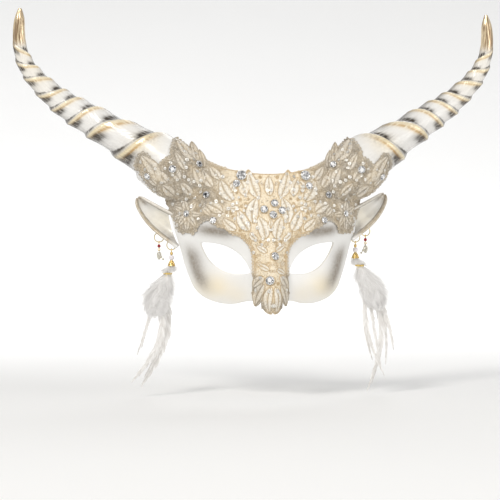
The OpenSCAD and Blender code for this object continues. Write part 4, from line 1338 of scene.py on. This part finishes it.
for stone_group, group_stones in STONES.items():
    build_stones(stone_group, group_stones, stone_group)
build_stones("horn_root_stones", [(k * x, z, d) for x, z, d in ROOT_STONES for k in (1, -1)])

# ---- ring hardware and beads ---------------------------------------------------
CENTRES = {joint["name"]: np.array(joint["pos_m"]) / MM for joint in frame["joints"]}
# Sideways bend of each side's feathers as (depth below the cap, offset)
BENDS = {"left": [[0, 0], [5, 2.5], [24, 11], [42, 12.5], [66, 10], [86, 16], [105, 30]],
         "right": [[0, 0], [5, 3], [24, 14], [42, 17.5], [70, 24], [95, 23.5], [112, 15]]}


def low_high(node):
    """Heights in mm of a CAD node's lowest and highest point."""
    low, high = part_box(node)
    return low.z / MM, high.z / MM


def hung(points, side, kind):
    """Points made round the centre of a +X ring, moved to one side's ring."""
    return points * np.array([SIDES[side], 1, 1]) + CENTRES[f"{kind}_drop_{side}_slide"]


def drop_heights(side, node, kind="feather"):
    """Lowest and highest point of a hung node, measured from its ring's centre."""
    low, high = low_high(f"{node}_{side}")
    z = CENTRES[f"{kind}_drop_{side}_slide"][2]
    return low - z, high - z


def hang(made, shape, side, kind="feather", **attrs):
    """Adds (points, faces) made for the +X side to a mesh, on the side asked for."""
    points, faces = shape
    turned = [f[:, ::-1] for f in (faces if isinstance(faces, list) else [faces])]
    made.add(hung(np.asarray(points), side, kind), faces if side == "right" else turned, **attrs)


def drop_piece(made, name, looks, slot, node, side, kind="feather", smooth=True):
    """Makes a hung piece of a mesh; it rides on its side's drop and stands for a CAD node."""
    obj = made.object(f"{name}_{side}", looks, smooth)
    piece(obj, f"{kind}_drop_{side}", slot, f"{node}_{side}")


def build_gold_bead(side):
    """A bead wrapped in wire."""
    low, high = drop_heights(side, "gold_bead")
    mid, r = 0.5 * (low + high), 0.5 * (high - low)
    made = Mesh()
    a = np.linspace(0.28, np.pi - 0.28, 18)
    hang(made, lathe(np.stack([0.93 * r * np.sin(a), mid + 0.93 * r * np.cos(a)], 1), 28), side)
    t = np.linspace(0, 1, 220)
    lat = 0.32 + t * (np.pi - 0.64)
    turn = t * 9 * 2 * np.pi
    wire = round_z(r * np.sin(lat), turn, mid + r * np.cos(lat))
    hang(made, tube(wire, 0.11, 6), side)
    drop_piece(made, "wrapped_bead", [GILT], "gilt", "gold_bead", side)


def build_bead_cap(side):
    """A filigree cone of six petals, edged with wire and grains."""
    low, high = drop_heights(side, "bead_cap")
    r = 0.5 * (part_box(f"bead_cap_{side}")[1].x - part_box(f"bead_cap_{side}")[0].x) / MM
    rows, cols = 26, 96
    t = np.linspace(0, 1, rows)[:, None] * np.ones(cols)
    a = np.ones(rows)[:, None] * np.arange(cols) * 2 * np.pi / cols
    petal = np.abs(np.cos(3 * a))
    wide = mix(1.1, r, t ** 0.8) * (1 - 0.09 * (1 - petal) * t)
    z = mix(high, low, t) + 0.9 * (1 - petal ** 0.7) * t ** 3
    skins = [round_z(wide - wall, a, z) for wall in (0.0, 0.32)]
    loop = np.concatenate([skins[0], skins[1][::-1]])
    made = Mesh()
    hang(made, (loop.reshape(-1, 3), grid_faces(2 * rows, cols, True)[:, ::-1]), side)
    seam = np.arange(cols)
    hang(made, (np.concatenate([skins[0][0], skins[1][0]]),
                np.stack([seam, (seam + 1) % cols, (seam + 1) % cols + cols, seam + cols], 1)), side)
    edge = np.concatenate([skins[0][-1], skins[0][-1][:1]])
    hang(made, tube(edge, 0.2, 6), side)
    for k in range(6):
        b = k * np.pi / 3
        s = np.linspace(0.15, 0.95, 14)
        for lean in (-0.22, 0.22):
            turn = b + lean * np.sin(np.pi * s)
            q = mix(1.1, r, s ** 0.8) + 0.06
            path = round_z(q, turn, mix(high, low, s))
            hang(made, tube(path, 0.13, 5), side)
        for s0 in (0.55, 0.85):
            q = mix(1.1, r, s0 ** 0.8) + 0.1
            grain = np.array([q * math.cos(b), q * math.sin(b), mix(high, low, s0)])
            ball = lathe([[0.02, 0.26], [0.19, 0.18], [0.26, 0], [0.19, -0.18], [0.02, -0.26]], 10)
            hang(made, (ball[0] + grain, ball[1]), side)
    for z0, wire in ((high - 0.1, 0.24), (high - 0.55, 0.16)):
        hang(made, tube(round_z(1.12, np.linspace(0, 2 * np.pi, 40), z0), wire, 6), side)
    drop_piece(made, "filigree_cap", [GILT], "gilt", "bead_cap", side)


def build_red_bead(side):
    """A small faceted glass bead."""
    low, high = drop_heights(side, "red_bead", "charm")
    mid, r = 0.5 * (low + high), 0.5 * (high - low)
    profile = [[0.42, r], [0.72 * r, 0.75 * r], [r, 0.25 * r], [r, -0.25 * r],
               [0.72 * r, -0.75 * r], [0.42, -r]]
    made = Mesh()
    hang(made, lathe(np.array(profile) + [0, mid], 10), side, "charm")
    hang(made, lathe([[0.4, -r + mid], [0.4, r + mid]], 10), side, "charm")
    drop_piece(made, "faceted_bead", [RED], "red_bead", "red_bead", side, "charm", smooth=False)


def build_leaf_charm(side):
    """A cast leaf with a rim, a hole at its head, a midrib and side veins."""
    low, high = drop_heights(side, "leaf_charm", "charm")
    box_low, box_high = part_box(f"leaf_charm_{side}")
    y = 0.5 * (box_low.y + box_high.y) / MM - CENTRES[f"charm_drop_{side}_slide"][1]
    long, made = high - low, Mesh()
    a = np.radians(np.arange(0, 361, 7.5))
    share = (1 - np.cos(a)) / 2
    rim = np.stack([2.1 * np.sin(a) * (1 - 0.35 * share), y + 0 * a, high - long * share], 1)
    hole = np.stack([0.8 * np.sin(a), y + 0 * a, high - 1.3 + 0.8 * np.cos(a)], 1)
    t = np.linspace(0, 1, 9)[:, None, None]
    face = mix(hole[None], rim[None], t)
    crown = 0.22 * np.sin(np.pi * np.linspace(0, 1, 9))[:, None]
    front, back = face.copy(), face.copy()
    front[..., 1] -= 0.2 + crown
    back[..., 1] += 0.2
    loop = np.concatenate([front, back[::-1], front[:1]])
    rows, cols = loop.shape[:2]
    hang(made, (loop.reshape(-1, 3), grid_faces(rows, cols)), side, "charm")
    hang(made, tube(rim, 0.22, 6), side, "charm")
    hang(made, tube(hole, 0.2, 6), side, "charm")
    rib = np.linspace(high - 2.2, low + 0.2, 12)
    hang(made, tube(np.stack([0 * rib, y - 0.42 + 0 * rib, rib], 1), 0.13, 5), side, "charm")
    for z in np.linspace(high - 2.6, low + 1.4, 5):
        for k in (-1, 1):
            reach = 1.1 * (1 - abs(z - (high + low) / 2) / long)
            vein = [[0, y - 0.42, z], [k * reach * 0.5, y - 0.42, z - 0.2],
                    [k * reach, y - 0.3, z - 0.6]]
            hang(made, tube(vein, 0.09, 5), side, "charm")
    drop_piece(made, "cast_leaf", [SILVER], "silver", "leaf_charm", side, "charm")


for hung_side in SIDES:
    build_gold_bead(hung_side)
    build_bead_cap(hung_side)
    build_red_bead(hung_side)
    build_leaf_charm(hung_side)

# ---- feathers ------------------------------------------------------------------
# Half-width of the down along its length as (share of length, share of FLUFF_R)
FLUFF_HALF = [[0, 0.26], [0.08, 0.4], [0.14, 0.24], [0.2, 0.42], [0.4, 0.85], [0.6, 1], [0.8, 0.95],
              [0.93, 0.75], [1, 0.5]]
FLUFF_R, FLUFF_FLAT, FLUFF_LEN, TIE_SHARE = 11, 0.7, 41, 0.14


def feather_base(side):
    """Height of the cap's mouth from the ring's centre."""
    return drop_heights(side, "bead_cap")[0]


def sway(side, z):
    """Sideways bend of the feathers at a height."""
    bend = np.array(BENDS[side], float)
    return np.interp(feather_base(side) - z, bend[:, 0], bend[:, 1])


def fluff_half(s):
    shares = np.array(FLUFF_HALF)
    return FLUFF_R * np.interp(s, shares[:, 0], shares[:, 1])


def strands(paths, wide, normals):
    """Points and faces of flat tapering strands: paths is count x points x 3."""
    count, steps = paths.shape[:2]
    t = unit(np.gradient(paths, axis=1))
    side = unit(np.cross(t, normals[:, None] + 0 * t))
    half = 0.5 * wide[..., None] * side
    points = np.stack([paths - half, paths + half], 2)
    index = np.arange(count * steps * 2).reshape(count, steps, 2)
    a, b = index[:, :-1], index[:, 1:]
    faces = np.stack([a[..., 0], a[..., 1], b[..., 1], b[..., 0]], -1).reshape(-1, 4)
    return points.reshape(-1, 3), faces


def build_fluff(side):
    """A soft puff: a core under thousands of fine barbs that flow down and out."""
    top = feather_base(side) - 0.3
    made = Mesh()
    rows, cols = 60, 40
    s = np.linspace(0.005, 0.97, rows)[:, None] * np.ones(cols)
    a = np.ones(rows)[:, None] * np.arange(cols) * 2 * np.pi / cols
    lumps = 1 + 0.1 * np.sin(5 * a + 19 * s) + 0.07 * np.sin(11 * a - 31 * s)
    r = 0.7 * fluff_half(s) * lumps
    z = top - FLUFF_LEN * s
    core = np.stack([sway(side, z) + r * np.cos(a), FLUFF_FLAT * r * np.sin(a), z], -1)
    # The hidden core is darkened with painted shade.
    hang(made, (core.reshape(-1, 3), [f[:, ::-1] for f in closed_grid(rows, cols)]), side, depth=0.8)
    locks, each, steps = 300, 32, 7
    tuft = rng.random(locks) < 0.12
    start = np.where(tuft, rng.uniform(0, 0.05, locks), rng.uniform(0.12, 0.8, locks))
    long = np.where(tuft, rng.uniform(0.05, 0.1, locks), rng.uniform(0.16, 0.32, locks))
    lock = np.stack([start, long, rng.uniform(0, 2 * np.pi, locks), rng.uniform(0.78, 1.2, locks),
                     rng.uniform(0, 0.45, locks), rng.normal(0, 0.35, locks), tuft], 1)
    start, long, turn, out, tone, lean, tuft = np.repeat(lock, each, 0).T[..., None]
    count = locks * each
    t = np.linspace(0, 1, steps)
    spread = rng.uniform(-0.42, 0.42, (count, 1))
    share = (start + rng.uniform(-0.03, 0.03, (count, 1))
             + long * rng.uniform(0.8, 1.1, (count, 1)) * t ** 1.15)
    stray = np.where(rng.random((count, 1)) < 0.1, rng.uniform(1.15, 1.7, (count, 1)), 1)
    out = out * stray * rng.uniform(0.85, 1.03, (count, 1)) * (0.35 + 0.65 * t ** 0.55)
    r = (fluff_half(np.where(tuft > 0, 0.1, np.clip(share, 0, 1))) * out
         * np.where(tuft > 0, 0.5 + 1.1 * t, 1))
    curl = turn + spread * (1 - 0.8 * t ** 1.5) + lean * t + rng.normal(0, 0.12, (count, 1)) * t
    z = top - FLUFF_LEN * np.clip(share, 0, 1.04)
    paths = np.stack([sway(side, z) + r * np.cos(curl), FLUFF_FLAT * r * np.sin(curl), z], -1)
    wide = rng.uniform(0.22, 0.42, (count, 1)) * (1 - 0.85 * t)
    facing = (np.concatenate([np.cos(turn), np.sin(turn), 0.4 + 0 * turn], 1)
              + 0.5 * rng.normal(size=(count, 3)))
    # Painted shade of each barb: darker near its root, towards the sides of its lock, and by a random
    # amount per lock.
    barb_shade = 0.7 * (1 - t) ** 1.2 + 1.2 * np.abs(spread) * t + tone + rng.uniform(-0.3, 0.15, (count, 1))
    barb_shade = np.repeat(np.clip(barb_shade, 0, 1).ravel(), 2)
    hang(made, strands(paths, wide, facing), side, depth=barb_shade)
    drop_piece(made, "down_puff", [DOWN], "down", "feather_fluff", side)


def build_tie(side):
    """Gold thread wound round the feathers' necks, with a knot and two short ends."""
    low, high = drop_heights(side, "feather_tie")
    mid = 0.5 * (low + high)
    r = float(fluff_half(TIE_SHARE)) + 0.85
    made = Mesh()
    t = np.linspace(0, 1, 260)
    a = t * 7 * 2 * np.pi
    wobble = 0.06 * np.sin(a * 0.37)
    z = mid + 1.3 * (t - 0.5) + wobble
    wound = np.stack([sway(side, mid) + (r + wobble) * np.cos(a),
                      FLUFF_FLAT * (r + wobble) * np.sin(a), z], 1)
    hang(made, tube(wound, 0.2, 6), side)
    u = np.linspace(0, 2 * np.pi, 60)
    knot = np.stack([sway(side, mid) + 0.75 * np.sin(2 * u), -FLUFF_FLAT * r - 0.3 + 0.3 * np.cos(3 * u),
                     mid + 0.6 * np.sin(3 * u)], 1)
    hang(made, tube(knot, 0.2, 6), side)
    for k in (-1, 1):
        v = np.linspace(0, 1, 10)
        tail = np.stack([sway(side, mid) + k * (0.4 + 2.2 * v ** 1.3), -FLUFF_FLAT * r - 0.4 - 0.5 * v,
                         mid - 2.6 * v], 1)
        hang(made, tube(tail, np.linspace(0.17, 0.08, 10), 5), side)
    drop_piece(made, "thread_tie", [THREAD], "gold_thread", "feather_tie", side)


# Hackles of each side as (start depth, start offset, end depth, end offset, width, lean, forward)
HACKLES = {
    "left": [(20, 10, 94, 33, 8, -13, -1.2), (22, 9, 98, 25, 8, -11, 1), (24, 12, 89, 27, 7, -10, -2.8),
             (20, 6, 84, 16, 7, -8, 2.8), (24, 14, 90, 22, 6, -10, 0), (24, 12, 72, 28, 3.5, 0, -0.6),
             (28, 15, 66, 24, 3, 0, 1.6)],
    "right": [(20, 8, 97, 24, 5, -6, -2.2), (20, 15, 110, 10, 6, 9, 0.8), (24, 17, 76, 32, 4.5, 2, -1),
              (24, 14, 104, 14, 5, 8, 2.4), (26, 12, 92, 22, 4, -1, -0.4), (30, 19, 88, 26, 4, 3, 1.6),
              (28, 9, 84, 15, 4, -3, 2.8)]}


def add_hackle(made, side, start, x0, end, x1, width, lean, forward):
    """One feather: a tapering quill, and two rows of barbs in locks that make its vane."""
    base = feather_base(side)
    t = np.linspace(0, 1, 40)
    x = mix(x0, x1, t) + lean * np.sin(np.pi * t)
    y = forward * ramp(0, 0.35, t) + 0.8 * np.sin(2.2 * np.pi * t + forward)
    quill = np.stack([x, y, base - mix(start, end, t)], 1)
    # The quill is darkened with painted shade.
    hang(made, tube(quill, mix(0.32, 0.06, t), 5), side, depth=0.9)
    barbs, steps = 190, 7
    u = np.linspace(0.06, 0.985, barbs)
    root = np.stack([np.interp(u, t, quill[:, k]) for k in range(3)], 1)
    run = unit(np.stack([np.interp(u, t, np.gradient(quill[:, k])) for k in range(3)], 1))
    across = unit(np.cross(run, [0.0, 1.0, 0.0]))
    half = 0.5 * width * np.sin(np.pi * u ** 0.7) ** 0.55 * (1 - 0.4 * u)
    v = np.linspace(0, 1, steps)
    for k in (-1, 1):
        lock = (np.cumsum(rng.uniform(0.4, 1.6, barbs)) / 8).astype(int)
        fall, tone = rng.uniform(0.7, 1.15, barbs)[lock], rng.uniform(0, 0.75, barbs)[lock]
        reach = (half * fall * rng.uniform(0.9, 1.05, barbs))[:, None]
        gone = np.clip(rng.normal(0, 0.5, barbs), -0.8, 0.8)[:, None]
        paths = (root[:, None] + (k * reach * v ** 0.8)[..., None] * across[:, None]
                 + ((reach * 2.6 + gone) * v ** 1.2)[..., None] * run[:, None])
        paths[..., 1] += (0.12 * width * v ** 2 + 0.25 * np.sin(9 * u)[:, None] * v) * (1 if k > 0 else 0.6)
        wide = 0.42 * (1 - 0.75 * v ** 3) + np.zeros((barbs, 1))
        # Painted shade of each barb: darker near the quill and by a random amount per lock.
        barb_shade = 0.4 * (1 - v) + tone[:, None] + 0.3 * rng.random((barbs, 1)) ** 2
        hang(made, strands(paths, wide, np.tile([0.0, 1.0, 0.0], (barbs, 1))), side,
             depth=np.repeat(np.clip(barb_shade, 0, 1).ravel(), 2))
    soft = 90
    long = rng.uniform(2.5, 5, (soft, 1))
    w = np.linspace(0, 1, 5)
    at = rng.uniform(0.0, 0.22, soft)
    root = np.stack([np.interp(at, t, quill[:, k]) for k in range(3)], 1)
    way = unit(np.stack([rng.normal(size=soft), 0.6 * rng.normal(size=soft), -1.2 + 0 * at], 1))
    paths = root[:, None] + (long * w)[..., None] * way[:, None]
    paths[..., 2] -= 1.2 * w ** 2
    # The loose wisps get a little painted shade.
    hang(made, strands(paths, 0.3 * (1 - 0.8 * w) * np.ones((soft, 1)), rng.normal(size=(soft, 3))),
         side, depth=0.2)


def build_plumes(side):
    made = Mesh()
    for hackle in HACKLES[side]:
        add_hackle(made, side, *hackle)
    drop_piece(made, "hackle_plumes", [HACKLE], "hackle", "feather_plumes", side)


for hung_side in SIDES:
    build_fluff(hung_side)
    build_tie(hung_side)
    build_plumes(hung_side)

# ---- finishes of the CAD pieces that are shown as they are -----------------------
FINISHES = {"horn_screws": STEEL, "horn_washers": STEEL, "horn_plug": WOOD, "tie_loop": GILT,
            "ring_eyes": GILT, "inner_ring": PALE_GILT, "outer_ring": PALE_GILT, "drop_pin": GILT,
            "charm_pin": GILT, "pearl": PEARL, "charm_link": SILVER, "end_beads": SILVER}
for node_name, node in nodes.items():
    finish = FINISHES.get(node_name.removesuffix("_left").removesuffix("_right"))
    if finish:
        node.data.materials.clear()
        node.data.materials.append(finish)
